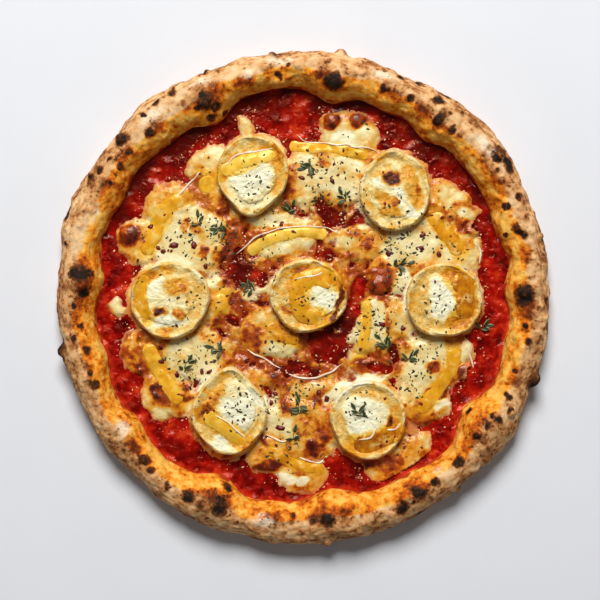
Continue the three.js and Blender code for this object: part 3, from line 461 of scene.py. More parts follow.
def curve(points, spacing):
    """Points about evenly spaced along a Catmull-Rom curve."""
    guide = np.array(points, float)
    padded = np.vstack([2 * guide[0] - guide[1], guide, 2 * guide[-1] - guide[-2]])
    pieces = []
    for i in range(len(guide) - 1):
        a, b, c, d = padded[i:i + 4]
        count = max(2, round(np.linalg.norm(c - b) / spacing))
        t = (np.arange(count) / count)[:, None]
        pieces.append(0.5 * (2 * b + (c - a) * t + (2 * a - 5 * b + 4 * c - d) * t ** 2
                             + (3 * b - a - 3 * c + d) * t ** 3))
    return np.vstack(pieces + [guide[-1:]])


def refine(sections, counts):
    """Catmull-Rom rows between the rows of sections (columns, rows, n), counts for each gap."""
    first = 2 * sections[:, :1] - sections[:, 1:2]
    last = 2 * sections[:, -1:] - sections[:, -2:-1]
    padded = np.concatenate([first, sections, last], axis=1)
    rows = []
    for i, count in enumerate(counts):
        a, b, c, d = (padded[:, i + k] for k in range(4))
        for t in np.arange(count) / count:
            rows.append(0.5 * (2 * b + (c - a) * t + (2 * a - 5 * b + 4 * c - d) * t ** 2
                               + (3 * b - a - 3 * c + d) * t ** 3))
    rows.append(sections[:, -1])
    return np.stack(rows, axis=1)


def wrapped_quads(columns, rows):
    """Faces of a grid of points [column][row] whose last column joins its first."""
    column, row = np.mgrid[0:columns, 0:rows - 1]
    here = column * rows + row
    over = (column + 1) % columns * rows + row
    return np.stack([here, over, over + 1, here + 1], axis=-1).reshape(-1, 4).tolist()


def pole_fans(columns, rows, first_pole, last_pole):
    """Triangles that close the first and the last row of such a grid."""
    faces = []
    for column in range(columns):
        here, over = column * rows, (column + 1) % columns * rows
        faces.append((first_pole, over, here))
        faces.append((last_pole, here + rows - 1, over + rows - 1))
    return faces


def grid_quads(rows, columns):
    """Faces of an open grid of points [row][column]."""
    i, j = np.mgrid[0:rows - 1, 0:columns - 1]
    here = i * columns + j
    return np.stack([here, here + columns, here + columns + 1, here + 1], axis=-1).reshape(-1, 4)


def grid_rim(rows, columns):
    """The points round such a grid, in order."""
    rim = list(range(columns)) + [i * columns + columns - 1 for i in range(1, rows)]
    rim += [(rows - 1) * columns + j for j in range(columns - 2, -1, -1)]
    return rim + [i * columns for i in range(rows - 2, 0, -1)]


def sheet_faces(rows, columns):
    """Faces of a grid, of the same grid below it, and of the narrow walls between the two."""
    upper, rim, count = grid_quads(rows, columns), grid_rim(rows, columns), rows * columns
    walls = [(a, b, b + count, a + count) for a, b in zip(rim, rim[1:] + rim[:1])]
    return upper.tolist() + (upper[:, ::-1] + count).tolist() + walls


# ---------------------------------------------------------------- pieces


def add_piece(name, points, faces, material, nodes=(), masks=None):
    """A smooth mesh of points in mm that rides on the pizza, with masks for its material."""
    mesh = bpy.data.meshes.new(name)
    mesh.from_pydata((np.asarray(points, float) * MM).tolist(), [], faces)
    mesh.shade_smooth()
    for key, values in (masks or {}).items():
        layer = mesh.attributes.new(key, "FLOAT", "POINT")
        layer.data.foreach_set("value", np.asarray(values, np.float32).ravel())
    mesh.materials.append(material)
    piece = bpy.data.objects.new(name, mesh)
    bpy.context.scene.collection.objects.link(piece)
    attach(piece, "root")
    if nodes:
        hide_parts(*nodes)
    return piece


# ---------------------------------------------------------------- materials


def linear(red, green, blue):
    """A colour as a screen shows it, 0 to 255, to the numbers that a shader takes."""
    def channel(value):
        value /= 255
        return value / 12.92 if value <= 0.04045 else ((value + 0.055) / 1.055) ** 2.4
    return (channel(red), channel(green), channel(blue), 1)


class Skin:
    """A material on the principled shader, with short ways to add nodes."""

    def __init__(self, name, roughness, **sockets):
        self.material = bpy.data.materials.new(name)
        self.material.use_nodes = True
        self.tree = self.material.node_tree
        self.shader = self.tree.nodes["Principled BSDF"]
        self.shader.inputs["Roughness"].default_value = roughness
        for socket, value in sockets.items():
            self.shader.inputs[socket.replace("_", " ")].default_value = value
        self.place = self.tree.nodes.new("ShaderNodeTexCoord").outputs["Object"]

    def connect(self, value, socket):
        if isinstance(value, bpy.types.NodeSocket):
            self.tree.links.new(value, socket)
        else:
            socket.default_value = value

    def mask(self, key):
        node = self.tree.nodes.new("ShaderNodeAttribute")
        node.attribute_name = key
        return node.outputs["Fac"]

    def lumps(self, size, detail=3, roughness=0.55):
        """Noise of a size in mm, about 0 to 1."""
        node = self.tree.nodes.new("ShaderNodeTexNoise")
        node.inputs["Scale"].default_value = 1 / (size * MM)
        node.inputs["Detail"].default_value = detail
        node.inputs["Roughness"].default_value = roughness
        self.tree.links.new(self.place, node.inputs["Vector"])
        return node.outputs["Fac"]

    def cells(self, size):
        """Distance from the nearest of scattered points, as for grains of a size in mm."""
        node = self.tree.nodes.new("ShaderNodeTexVoronoi")
        node.inputs["Scale"].default_value = 1 / (size * MM)
        self.tree.links.new(self.place, node.inputs["Vector"])
        return node.outputs["Distance"]

    def math(self, operation, first, second=0.0):
        node = self.tree.nodes.new("ShaderNodeMath")
        node.operation = operation
        self.connect(first, node.inputs[0])
        self.connect(second, node.inputs[1])
        return node.outputs[0]

    def step(self, value, low, high, start=0.0, end=1.0):
        """A soft step from start to end as value goes from low to high."""
        node = self.tree.nodes.new("ShaderNodeMapRange")
        node.interpolation_type = "SMOOTHSTEP"
        self.connect(value, node.inputs["Value"])
        for socket, number in zip(("From Min", "From Max", "To Min", "To Max"), (low, high, start, end)):
            node.inputs[socket].default_value = number
        return node.outputs["Result"]

    def ragged(self, key, size, amount=0.6, low=0.35, high=0.65):
        """A mask whose edge is broken up by noise."""
        wave = self.math("MULTIPLY_ADD", self.lumps(size, 4), amount)
        wave.node.inputs[2].default_value = -amount / 2
        return self.step(self.math("ADD", self.mask(key), wave), low, high)

    def sum(self, value, *parts):
        """A value plus parts (noise, amount), each of which is about 0.5 on the average."""
        for part, amount in parts:
            share = self.math("MULTIPLY_ADD", part, amount)
            share.node.inputs[2].default_value = -amount / 2
            value = self.math("ADD", value, share)
        return value

    def uneven(self, key, reach, *waves):
        """A mask plus waves (noise, amount), which count for more as the mask goes along reach."""
        share = self.step(self.mask(key), *reach)
        return self.math("ADD", self.mask(key), self.math("MULTIPLY", self.sum(0.0, *waves), share))

    def ramp(self, value, stops):
        """Colours (at, colour) as value goes from 0 to 1."""
        node = self.tree.nodes.new("ShaderNodeValToRGB")
        ends = node.color_ramp.elements
        for _ in range(len(stops) - 2):
            ends.new(0.5)
        for end, (at, color) in zip(ends, stops):
            end.position, end.color = at, color
        self.connect(value, node.inputs["Fac"])
        return node.outputs["Color"]

    def mix(self, share, first, second):
        node = self.tree.nodes.new("ShaderNodeMix")
        node.data_type = "RGBA"
        self.connect(share, node.inputs["Factor"])
        self.connect(first, node.inputs[6])
        self.connect(second, node.inputs[7])
        return node.outputs[2]

    def finish(self, color, height=None, depth=0.0, roughness=None):
        """Sets the colour, a bump of a depth in mm, and where the gloss varies its roughness."""
        self.connect(color, self.shader.inputs["Base Color"])
        if roughness is not None:
            self.connect(roughness, self.shader.inputs["Roughness"])
        if height is not None:
            bump = self.tree.nodes.new("ShaderNodeBump")
            bump.inputs["Distance"].default_value = depth * MM
            self.connect(height, bump.inputs["Height"])
            self.connect(bump.outputs["Normal"], self.shader.inputs["Normal"])
        return self.material


FLOUR, CINDER, SPECK = linear(250, 228, 194), linear(32, 24, 20), linear(98, 50, 22)
OUTER_BAKE = [(0.0, linear(242, 200, 148)), (0.28, linear(222, 164, 104)), (0.52, linear(178, 112, 60)),
              (0.8, linear(110, 64, 34)), (1.0, linear(54, 32, 20))]
INNER_BAKE = [(0.0, linear(255, 198, 92)), (0.24, linear(244, 150, 36)), (0.46, linear(204, 94, 16)),
              (0.72, linear(118, 46, 12)), (1.0, linear(50, 22, 12))]
PULP = [(0.28, linear(70, 3, 2)), (0.44, linear(126, 6, 3)), (0.58, linear(170, 18, 6)),
        (0.74, linear(206, 58, 18))]
SAUCE_SMEAR, SAUCE_EDGE_AND_LIGHT, MAROON_AND_SHADOW = linear(190, 66, 28), linear(206, 52, 24), linear(84, 9, 4)
COOK = [(0.0, linear(254, 242, 198)), (0.16, linear(239, 217, 148)), (0.32, linear(233, 175, 76)),
        (0.46, linear(228, 146, 30)), (0.62, linear(180, 76, 14)), (0.8, linear(116, 34, 10)),
        (1.0, linear(56, 12, 6))]
SOAKED = [(0.0, linear(250, 214, 110)), (0.25, linear(240, 182, 48)), (0.5, linear(222, 140, 18)),
          (0.75, linear(160, 74, 10)), (1.0, linear(80, 26, 8))]
BLUSH, ORANGE_OIL = linear(212, 140, 92), linear(166, 62, 12)
GOAT_BAKE = [(0.0, linear(254, 248, 214)), (0.14, linear(252, 236, 180)), (0.3, linear(246, 214, 136)),
             (0.45, linear(228, 180, 86)), (0.58, linear(236, 162, 34)), (0.74, linear(190, 98, 20)),
             (0.9, linear(108, 38, 14)), (1.0, linear(60, 18, 10))]
HONEY_EDGE_SHADE, PALE_HONEY = linear(206, 116, 22), linear(250, 216, 126)
HONEY_DEPTH = [(0.1, linear(252, 206, 80)), (0.35, linear(236, 170, 36)), (0.6, linear(214, 134, 18)),
               (0.85, linear(152, 66, 12))]
LEAF_DARK, LEAF_EDGE_AND_HIGHLIGHT, STALK = linear(50, 62, 26), linear(164, 174, 124), linear(70, 66, 32)
STRING_AND_HIGHLIGHT_COLORS = linear(254, 240, 208), linear(248, 212, 178)
CRUMB_AND_GLINT_COLORS = linear(232, 150, 96), linear(250, 214, 168)
CHILI_COLORS = linear(66, 8, 6), linear(138, 16, 8)
FLECK_BLACK, FLECK_GREEN = linear(34, 26, 16), linear(70, 70, 32)
FLOOR_COLORS = linear(232, 233, 236), linear(238, 239, 242)
SKY = (0.92, 0.95, 1, 1)
EYE, LENS = (-0.0015, -0.0015, 1.111), 109.1


def crust_skin():
    skin = Skin("baked_crust", 0.74, Specular_IOR_Level=0.2, Specular_Tint=(1, 0.8, 0.6, 1))
    # The brown mask carries the bake and also painted shade on the near side.
    bake = skin.sum(skin.mask("brown"), (skin.lumps(3, 3, 0.55), 0.9), (skin.lumps(9, 3), 1.2))
    gold = skin.ragged("gold", 6, 1.5, 0.3, 0.7)
    color = skin.mix(gold, skin.ramp(bake, OUTER_BAKE), skin.ramp(bake, INNER_BAKE))
    # Pale flour, partly painted highlight where the rim faces the light.
    dust = skin.math("MULTIPLY", skin.mask("flour_and_highlight"), skin.step(skin.lumps(5, 3, 0.5), 0.3, 0.55, 0, 0.85))
    color = skin.mix(dust, color, FLOUR)
    speck = skin.step(skin.lumps(2.2, 2, 0.5), 0.54, 0.64)
    color = skin.mix(skin.math("MULTIPLY", speck, skin.step(bake, 0.15, 0.55, 0.05, 0.95)), color, SPECK)
    color = skin.mix(skin.ragged("smear", 3, 0.7, 0.35, 0.95), color, SAUCE_SMEAR)
    char = skin.sum(skin.mask("char"), (skin.lumps(2, 3, 0.65), 1.5), (skin.lumps(5, 2), 0.7))
    color = skin.mix(skin.step(char, 0.1, 0.45, 0.0, 0.85), color, SPECK)
    color = skin.mix(skin.step(char, 0.34, 0.72), color, CINDER)
    height = skin.math("ADD", skin.lumps(2.6, 5, 0.6), skin.step(skin.lumps(1.1, 2), 0.56, 0.74, 0, -0.35))
    return skin.finish(color, height, 0.5)


def sauce_skin():
    skin = Skin("tomato_sauce", 0.3, Specular_IOR_Level=0.3, Specular_Tint=(1, 0.35, 0.2, 1),
                Coat_Weight=0.1, Coat_Roughness=0.05)
    color = skin.ramp(skin.sum(skin.lumps(10, 3, 0.55), (skin.lumps(4, 2), 0.3)), PULP)
    # Partly painted light: the brighter foot of the sauce on the near side.
    color = skin.mix(skin.ragged("near", 5, 1.2, 0.5, 1.2), color, SAUCE_EDGE_AND_LIGHT)
    # Dark maroon towards the middle, and painted shadow of the far rim along its foot.
    color = skin.mix(skin.ragged("deep", 4, 0.8, 0.2, 0.9), color, MAROON_AND_SHADOW)
    height = skin.math("ADD", skin.lumps(4.5, 3, 0.5), skin.math("MULTIPLY", skin.cells(3), -0.3))
    return skin.finish(color, height, 1.1, skin.step(skin.lumps(4), 0.4, 0.62, 0.12, 0.5))


def mozzarella_skin():
    skin = Skin("melted_mozzarella", 0.34, Specular_IOR_Level=0.4, Specular_Tint=(1, 0.8, 0.6, 1),
                Coat_Weight=0.2, Coat_Roughness=0.07,
                Subsurface_Weight=0.1, Subsurface_Radius=(0.003, 0.0014, 0.0006))
    cook = skin.uneven("cook", (0.05, 0.5, 0.2, 1.0), (skin.lumps(8), 1.0), (skin.lumps(3), 0.6))
    color = skin.ramp(cook, COOK)
    color = skin.mix(skin.ragged("honey", 4, 1.0, 0.35, 1.1), color, skin.ramp(cook, SOAKED))
    color = skin.mix(skin.ragged("thin", 2, 0.8, 0.35, 1.0), color, BLUSH)
    color = skin.mix(skin.ragged("lean", 2, 0.8, 0.35, 1.0), color, ORANGE_OIL)
    height = skin.math("ADD", skin.lumps(2.8, 4, 0.55), skin.math("MULTIPLY", skin.lumps(0.9, 2), 0.25))
    return skin.finish(color, height, 0.6, skin.step(skin.lumps(3), 0.35, 0.65, 0.2, 0.45))


def goat_skin():
    skin = Skin("goat_cheese", 0.42, Specular_IOR_Level=0.35, Specular_Tint=(1, 0.85, 0.65, 1),
                Coat_Weight=0.08, Coat_Roughness=0.1,
                Subsurface_Weight=0.1, Subsurface_Radius=(0.003, 0.002, 0.001))
    cook = skin.uneven("cook", (0.0, 0.45, 0.3, 1.0), (skin.lumps(4, 3, 0.6), 0.7),
                       (skin.lumps(1.6, 3, 0.6), 0.35))
    color = skin.ramp(cook, GOAT_BAKE)
    color = skin.mix(skin.ragged("honey", 3, 0.8, 0.35, 1.0), color, skin.ramp(cook, SOAKED))
    height = skin.math("ADD", skin.lumps(1.6, 4, 0.65), skin.math("MULTIPLY", skin.cells(1.1), -0.35))
    return skin.finish(color, height, 0.55, skin.step(skin.lumps(2.5), 0.35, 0.65, 0.26, 0.55))


def honey_skin():
    skin = Skin("honey", 0.2, Specular_IOR_Level=0.4, Specular_Tint=(1, 0.8, 0.4, 1),
                Subsurface_Weight=0.1, Subsurface_Radius=(0.002, 0.001, 0.0003))
    color = skin.ramp(skin.sum(skin.mask("deep"), (skin.lumps(5, 4, 0.6), 0.9)), HONEY_DEPTH)
    # Painted shade: a darker toffee colour along the ribbon's rounded edges.
    color = skin.mix(skin.step(skin.mask("edge"), 0.8, 1.0, 0.0, 0.15), color, HONEY_EDGE_SHADE)
    color = skin.mix(skin.step(skin.lumps(7, 3, 0.6), 0.54, 0.68, 0.0, 0.55), color, PALE_HONEY)
    return skin.finish(color, skin.lumps(4, 2), 0.3)


def spotted_skin(name, roughness, spots, first, second, grain, **sockets):
    """Two colours in soft spots (size, detail, low, high), with a grain (size, detail, depth)."""
    skin = Skin(name, roughness, **sockets)
    size, detail, low, high = spots
    color = skin.mix(skin.step(skin.lumps(size, detail), low, high), first, second)
    return skin.finish(color, skin.lumps(*grain[:2]), grain[2])


def thread_skin():
    # Pale cream, partly painted highlight along the honey's edges.
    return spotted_skin("cheese_string", 0.25, (2.5, 3, 0.4, 0.6), *STRING_AND_HIGHLIGHT_COLORS, (0.8, 2, 0.1),
                        Coat_Weight=0.4, Coat_Roughness=0.1)


def crumb_skin():
    return spotted_skin("cheese_crumb", 0.3, (5, 3, 0.42, 0.58), *CRUMB_AND_GLINT_COLORS, (0.8, 2, 0.1),
                        Coat_Weight=0.2, Coat_Roughness=0.1)


def flake_skin():
    return spotted_skin("chili_flake", 0.4, (1.6, 2, 0.42, 0.6), *CHILI_COLORS, (0.5, 3, 0.15),
                        Specular_IOR_Level=0.5)


def leaf_skin():
    skin = Skin("thyme_leaf", 0.45, Specular_IOR_Level=0.5)
    # Pale grey-green towards the leaf edges: partly the leaf's own paler edge, partly painted highlight.
    color = skin.mix(skin.ragged("rib", 1.4, 0.9, 0.35, 1.0), LEAF_DARK, LEAF_EDGE_AND_HIGHLIGHT)
    color = skin.mix(skin.mask("stalk"), color, STALK)
    return skin.finish(color, skin.lumps(0.35, 3), 0.12)


def fleck_skin():
    skin = Skin("dried_herb", 0.6)
    color = skin.mix(skin.step(skin.lumps(4, 2), 0.42, 0.52), FLECK_BLACK, FLECK_GREEN)
    color = skin.mix(skin.step(skin.lumps(6, 2), 0.55, 0.62), color, SPECK)
    return skin.finish(color, skin.lumps(0.4, 2), 0.1)


# ---------------------------------------------------------------- crust


def rim_at(angle):
    """Outer, crest and foot radius and height of the rim in each direction."""
    outer = OUTER_RADIUS + 0.8 * waver(angle, 1)
    crest = CREST_RADIUS + 1.2 * waver(angle, 2)
    foot = FOOT_RADIUS + 1.5 * waver(angle, 3)
    height = RIM_HEIGHT + 1.2 * waver(angle, 4)
    for at, half, inward, lift, outward in PUFFS:
        share = swell(angle, at, half)
        foot = foot - inward * share
        crest = crest - 0.45 * inward * share
        height = height + lift * share
        outer = outer + outward * share
    return outer, crest, foot, height


def rim_section(angle):
    """The rim's rows (columns, rows, 2) of radius and height, from its underside over its crest."""
    outer, crest, foot, height = rim_at(angle)
    rows = []
    for i in range(LOWER_STEPS + 1):
        a = math.pi / 2 * i / LOWER_STEPS
        rows.append((outer - UNDERCUT * (1 - math.sin(a)),
                     BELLY_HEIGHT * (1 - math.cos(a)) + 0 * angle))
    for i in range(1, OUTER_STEPS + 1):
        a = math.pi / 2 * i / OUTER_STEPS
        dent = CRAG * waver(5 * angle, i) * math.sin(2 * a)
        rise = (height - BELLY_HEIGHT + 0.6 * CRAG * waver(8 * angle, 21 + i)) * math.sin(a)
        rows.append((crest + (outer - crest) * math.cos(a) + dent, BELLY_HEIGHT + rise))
    for i in range(1, INNER_STEPS + 1):
        a = math.pi / 2 * i / INNER_STEPS
        dent = CRAG * waver(4 * angle, 7 + i) * math.sin(2 * a)
        drop = (height - BASE_TOP) * math.cos(a) + 0.6 * CRAG * waver(6 * angle, 31 + i) * math.sin(2 * a)
        rows.append((foot + (crest - foot) * (1 - math.sin(a)) + dent, BASE_TOP + drop))
    return np.stack([np.stack(row, axis=-1) for row in rows], axis=1)


def rim_top(angle, out):
    """Height of the rim's upper skin."""
    outer, crest, foot, height = rim_at(angle)
    if out >= crest:
        share = min(1, (out - crest) / (outer - crest))
        return BELLY_HEIGHT + (height - BELLY_HEIGHT) * math.sqrt(1 - share ** 2)
    share = min(1, (crest - out) / (crest - foot))
    return BASE_TOP + (height - BASE_TOP) * math.sqrt(1 - share ** 2)


def on_rim(at, out):
    """A point on the rim's upper skin."""
    out = min(out, rim_at(at)[0] - 0.3)
    c, s = cos_sin(at)
    return np.array([out * c, out * s, rim_top(at, out)])


def rim_marks(points, marks):
    """How strongly marks (direction, out, width round, width across) cover each point."""
    cover = np.zeros(points.shape[:-1])
    for at, out, around, across in marks:
        away = points - on_rim(at, out)
        c, s = cos_sin(at)
        tangent = np.array([-s, c, 0])
        aside = away @ tangent
        rest = np.linalg.norm(away - aside[..., None] * tangent, axis=-1)
        reach = np.hypot(aside / (around / 2), rest / (across / 2))
        cover = np.maximum(cover, smooth(1.5 - reach))
    return cover


def small_blisters():
    """Seeded small blisters of the rim: point, width and how browned they are."""
    draw = random_from(5)
    found = []
    for _ in range(SMALL_BLISTERS):
        at = 360 * next(draw)
        out = 127 + 21.5 * next(draw)
        width = 1.8 + 3.6 * next(draw) ** 2
        found.append((on_rim(at, out), width, next(draw)))
    return found


def crust():
    angle = np.arange(CRUST_COLUMNS) * 360 / CRUST_COLUMNS
    rows = refine(rim_section(angle), CRUST_FINENESS)
    slope = np.gradient(rows, axis=1)
    slope /= np.linalg.norm(slope, axis=-1, keepdims=True)
    c, s = cos_sin(angle[:, None])
    points = np.stack([rows[..., 0] * c, rows[..., 0] * s, rows[..., 1]], axis=-1)
    normal = np.stack([slope[..., 1] * c, slope[..., 1] * s, -slope[..., 0]], axis=-1)

    lift = 0.9 * fractal(points, 13, 3, 2) + 0.55 * fractal(points, 6, 9, 2)
    lift += 0.3 * fractal(points, 2.6, 15, 2)
    spots = np.zeros(lift.shape)
    for at, out, width in BLISTERS:
        reach = np.linalg.norm(points - on_rim(at, out), axis=-1) / (width / 2)
        lift += (OUTER_LIFT if out > OUTER_BLISTERS else INNER_LIFT) * width * smooth(1.2 - reach, 0, 0.9)
    for middle, width, heat in small_blisters():
        cover = smooth(1.2 - np.linalg.norm(points - middle, axis=-1) / (width / 2))
        lift += SMALL_LIFT * width * cover
        spots = np.maximum(spots, cover * heat ** 2)
    run = np.cumsum(np.linalg.norm(np.diff(rows, axis=1, prepend=rows[:, :1]), axis=-1), axis=1)
    wound = np.stack([points[..., 0] / 6, points[..., 1] / 6, run / 1.3], axis=-1)
    streak = fractal(wound, 1, 61, 2)
    lift += 0.12 * streak
    base = smooth(points[..., 2], 0, 4) * smooth(rows[..., 0] - rim_at(angle)[2][:, None], -0.5, 1.5)
    points = points + normal * (lift * base)[..., None]
    points[..., 2] = np.maximum(points[..., 2], 0)

    _, crest, foot, _ = rim_at(angle)
    inward = (crest[:, None] - rows[..., 0]) / (crest - foot)[:, None]
    upper = np.arange(rows.shape[1])[None, :] > sum(CRUST_FINENESS[:LOWER_STEPS + OUTER_STEPS - 1])
    broad = fractal(points, 14, 41, 2)
    bent = points + 1.3 * wander(points, 5, 51, 2)
    scorches = [(math.degrees(math.atan2(y, x)), math.hypot(x, y), width, width)
                for x, y, width in SCORCHES]
    char = np.maximum(rim_marks(bent, CHARS), 0.9 * rim_marks(bent, scorches))
    # low: 1 on the near side, which faces away from the key light, and 0 on the far side.
    low = smooth(-np.sin(np.radians(angle)), -0.4, 0.6)[:, None]
    brown = 0.16 + 0.36 * rim_marks(bent, TOASTS) * smooth(inward, -0.5, 0.1) + 0.14 * broad
    brown = np.maximum(brown, 0.1 + 0.7 * char) + 0.35 * spots + 0.3 * streak * smooth(0.1 - inward)
    # Painted shade: the outer wall and crest on the near side are darkened through the brown mask.
    brown += low * (0.14 * smooth(0.2 - inward - 0.3 * broad, 0, 0.5) + 0.05)
    brown += 0.14 * smooth(-inward, 0.15, 0.75) * smooth(np.sin(np.radians(angle)), -0.5, 0.3)[:, None]
    brown = brown * (points[..., 2] > 6)
    underside = smooth(8 - points[..., 2], 0, 6) * smooth(normal[..., 2], 0.2, -0.4)
    masks = {
        "gold": np.where(upper, smooth(inward + 0.22 * broad, -0.12, 0.35), 0) + 0.35 * underside,
        # brown holds the bake, chars and streaks, and also the painted shade of the near side.
        "brown": np.clip(brown + 0.25 * underside, 0, 1),
        "char": np.maximum(char, 0.7 * smooth(spots, 0.5, 0.95)) - 0.28,
        "flour_and_highlight": rim_marks(bent, FLOUR_AND_HIGHLIGHT_PLACES),
        "smear": np.where(upper, smooth(inward + 0.1 * fractal(points, 6, 77, 2), 0.9, 1.02), 0),
    }

    # The flat base inside the rim: a ring below, a ring above and a middle point each.
    rings = []
    for share, height in ((0.55, 0.0), (0.6, BASE_TOP)):
        radius = share * rows[:, :1, 0]
        rings.append(np.stack([radius * c, radius * s, np.full(c.shape, height)], axis=-1))
    points = np.concatenate([rings[0], points, rings[1]], axis=1)
    masks = {key: np.pad(values, ((0, 0), (1, 1)), mode="edge") for key, values in masks.items()}
    columns, row_count = points.shape[:2]
    faces = wrapped_quads(columns, row_count)
    faces += pole_fans(columns, row_count, columns * row_count, columns * row_count + 1)
    poles = [(0, 0, 0), (0, 0, BASE_TOP)]
    masks = {key: np.append(values, (values[0, 0], values[0, -1])) for key, values in masks.items()}
    return add_piece("pizza_crust", np.vstack([points.reshape(-1, 3), poles]), faces, crust_skin(),
                     ["crust"], masks)


# ---------------------------------------------------------------- tomato sauce


def sauce_top(x, y):
    """Height of the lumpy surface of the sauce."""
    place = flat_points(x, y)
    ridge = 0.5 - np.abs(fractal(place, 8, 101, 2))
    return SAUCE_LEVEL + 0.5 * fractal(place, 11, 111, 2) + 0.8 * ridge + 0.15 * fractal(place, 3.2, 121, 2)


def sauce():
    side = np.linspace(-1, 1, SAUCE_CELLS + 1)
    u, v = np.meshgrid(side, side, indexing="ij")
    wide = np.abs(u) >= np.abs(v)
    out = np.where(wide, u, v)
    ratio = np.where(wide, v, u) / np.where(out == 0, 1, out)
    turn = np.where(wide, math.pi / 4 * ratio, math.pi / 2 - math.pi / 4 * ratio)
    angle = np.degrees(np.arctan2(out * np.sin(turn), out * np.cos(turn)))
    _, crest, foot, _ = rim_at(angle)
    radius = np.abs(out) * (foot + SAUCE_TUCK)
    x, y = radius * cos_sin(angle)
    place, edge = flat_points(x, y), np.abs(out)
    creep = smooth(edge, 0.95, 1.0) * (0.6 + 0.8 * fractal(place, 5, 131, 2))
    top = np.stack([x, y, sauce_top(x, y) + creep], axis=-1).reshape(-1, 3)
    # Painted shadow: the sauce along the far foot, where the rim's shadow falls, turns dark maroon.
    rim_shadow = 0.9 * smooth(edge, 0.78, 0.96) * smooth(y, 10, 70)
    masks = {
        # near: brighter red-orange sauce at the foot, kept to the near side, which faces the light. It is
        # partly the sauce's own colour and partly painted light.
        "near": smooth(edge, 0.93, 1.0) * smooth(-y, -60, 30),
        # deep: darker maroon towards the middle, and the painted rim shadow on the far side.
        "deep": np.maximum(smooth(radius, 100, 60), rim_shadow) * (0.7 + 0.4 * fractal(place, 9, 141, 2)),
    }
    size = SAUCE_CELLS + 1
    rim = grid_rim(size, size)
    below = list(range(len(top), len(top) + len(rim)))
    walls = list(zip(rim, rim[1:] + rim[:1], below[1:] + below[:1], below))
    dropped = top[rim] * (1, 1, 0) + (0, 0, SAUCE_BOTTOM)
    masks = {key: np.append(values, values.ravel()[rim]) for key, values in masks.items()}
    faces = grid_quads(size, size).tolist() + walls + [below]
    return add_piece("red_sauce", np.vstack([top, dropped]), faces, sauce_skin(),
                     ["tomato_sauce"], masks)


# ---------------------------------------------------------------- mozzarella


def melt_border():
    """Radius of the melted sheet's edge for each degree."""
    angle = np.arange(360.0)
    out = rim_at(angle)[2] - EDGE_CLEARANCE
    c, s = cos_sin(angle)
    for _ in range(200):
        bare = np.min([reach_in(melt, out * c, out * s) for melt in MELTS], axis=0) >= 1
        out = np.where(bare, out - 0.5, out)
    return out


BORDER = melt_border()


def melt_level(x, y):
    """How far inside the melted cheese a point is, in mm, and the thickness there."""
    place = flat_points(x, y)
    wx, wy = warped(x, y, 1.8, 10, 201)
    angle = np.degrees(np.arctan2(wy, wx)) % 360
    edge = np.interp(angle, np.arange(361), np.append(BORDER, BORDER[0]))
    level = np.minimum(edge - np.hypot(wx, wy), 0.9)
    thick = np.full(x.shape, 1.2)
    for melt in MELTS:
        inside = (1 - reach_in(melt, wx, wy)) * min(melt[2], melt[3])
        level = np.maximum(level, inside)
        thick = np.maximum(thick, melt[5] * smooth(inside, 0, 3))
    for goat in GOATS:
        inside = (GOAT_COLLAR - reach_in((*goat[:4], 0), x, y)) * goat[2]
        level = np.maximum(level, inside)
        thick = np.maximum(thick, 2 * smooth(inside, 0, 3))
    px, py = warped(x, y, 3.2, 9, 281)
    for pool in POOLS:
        outside = (reach_in(pool, px, py) - 1) * min(pool[2], pool[3])
        level = np.minimum(level, outside + 0.4)
    level = np.maximum(level, (1 - reach_in(ISLET, wx, wy)) * ISLET[2])
    return level + 1.3 * fractal(place, 5, 221, 3) + 0.6 * fractal(place, 2.4, 225, 2), thick


def cooked(x, y):
    """How browned the melted cheese is at a place, 0 to 1."""
    place = flat_points(x, y)
    wx, wy = warped(x, y, 2.2, 8, 251)
    cook = 0.4 + 0.3 * fractal(place, 11, 271, 3)
    for kind, *ellipse in CHEESE_MARKS:
        cover = smooth(1.4 - reach_in(ellipse, wx, wy), 0, 0.6)
        cook += (COOKED[kind] + 0.1 * fractal(place, 6, 275, 3) - cook) * cover
    return cook


def stain(x, y, ribbons, soft):
    """How strongly ribbons of honey colour the cheese below and beside them."""
    cover = np.zeros(x.shape)
    for width, path, _ in ribbons:
        for middle_x, middle_y in curve(path, 2):
            away = np.hypot(x - middle_x, y - middle_y) - 0.5 * width
            cover = np.maximum(cover, smooth(1 - away / soft))
    return cover


def depth_in_cheese(x, y):
    """How far inside the melted cheese one place is, in mm."""
    return melt_level(np.array([x]), np.array([y]))[0][0]


def disc_place(draw, radius, power=0.5):
    """A seeded place in a disc; a power above 0.5 draws them to its middle."""
    out, angle = radius * next(draw) ** power, 2 * math.pi * next(draw)
    return out * math.cos(angle), out * math.sin(angle)


def small_bubbles():
    """Seeded small bubbles of the browned cheese: (x, y, radius)."""
    draw = random_from(17)
    return [(*disc_place(draw, BUBBLE_REACH), 1 + 2.2 * next(draw) ** 2) for _ in range(SMALL_BUBBLES)]


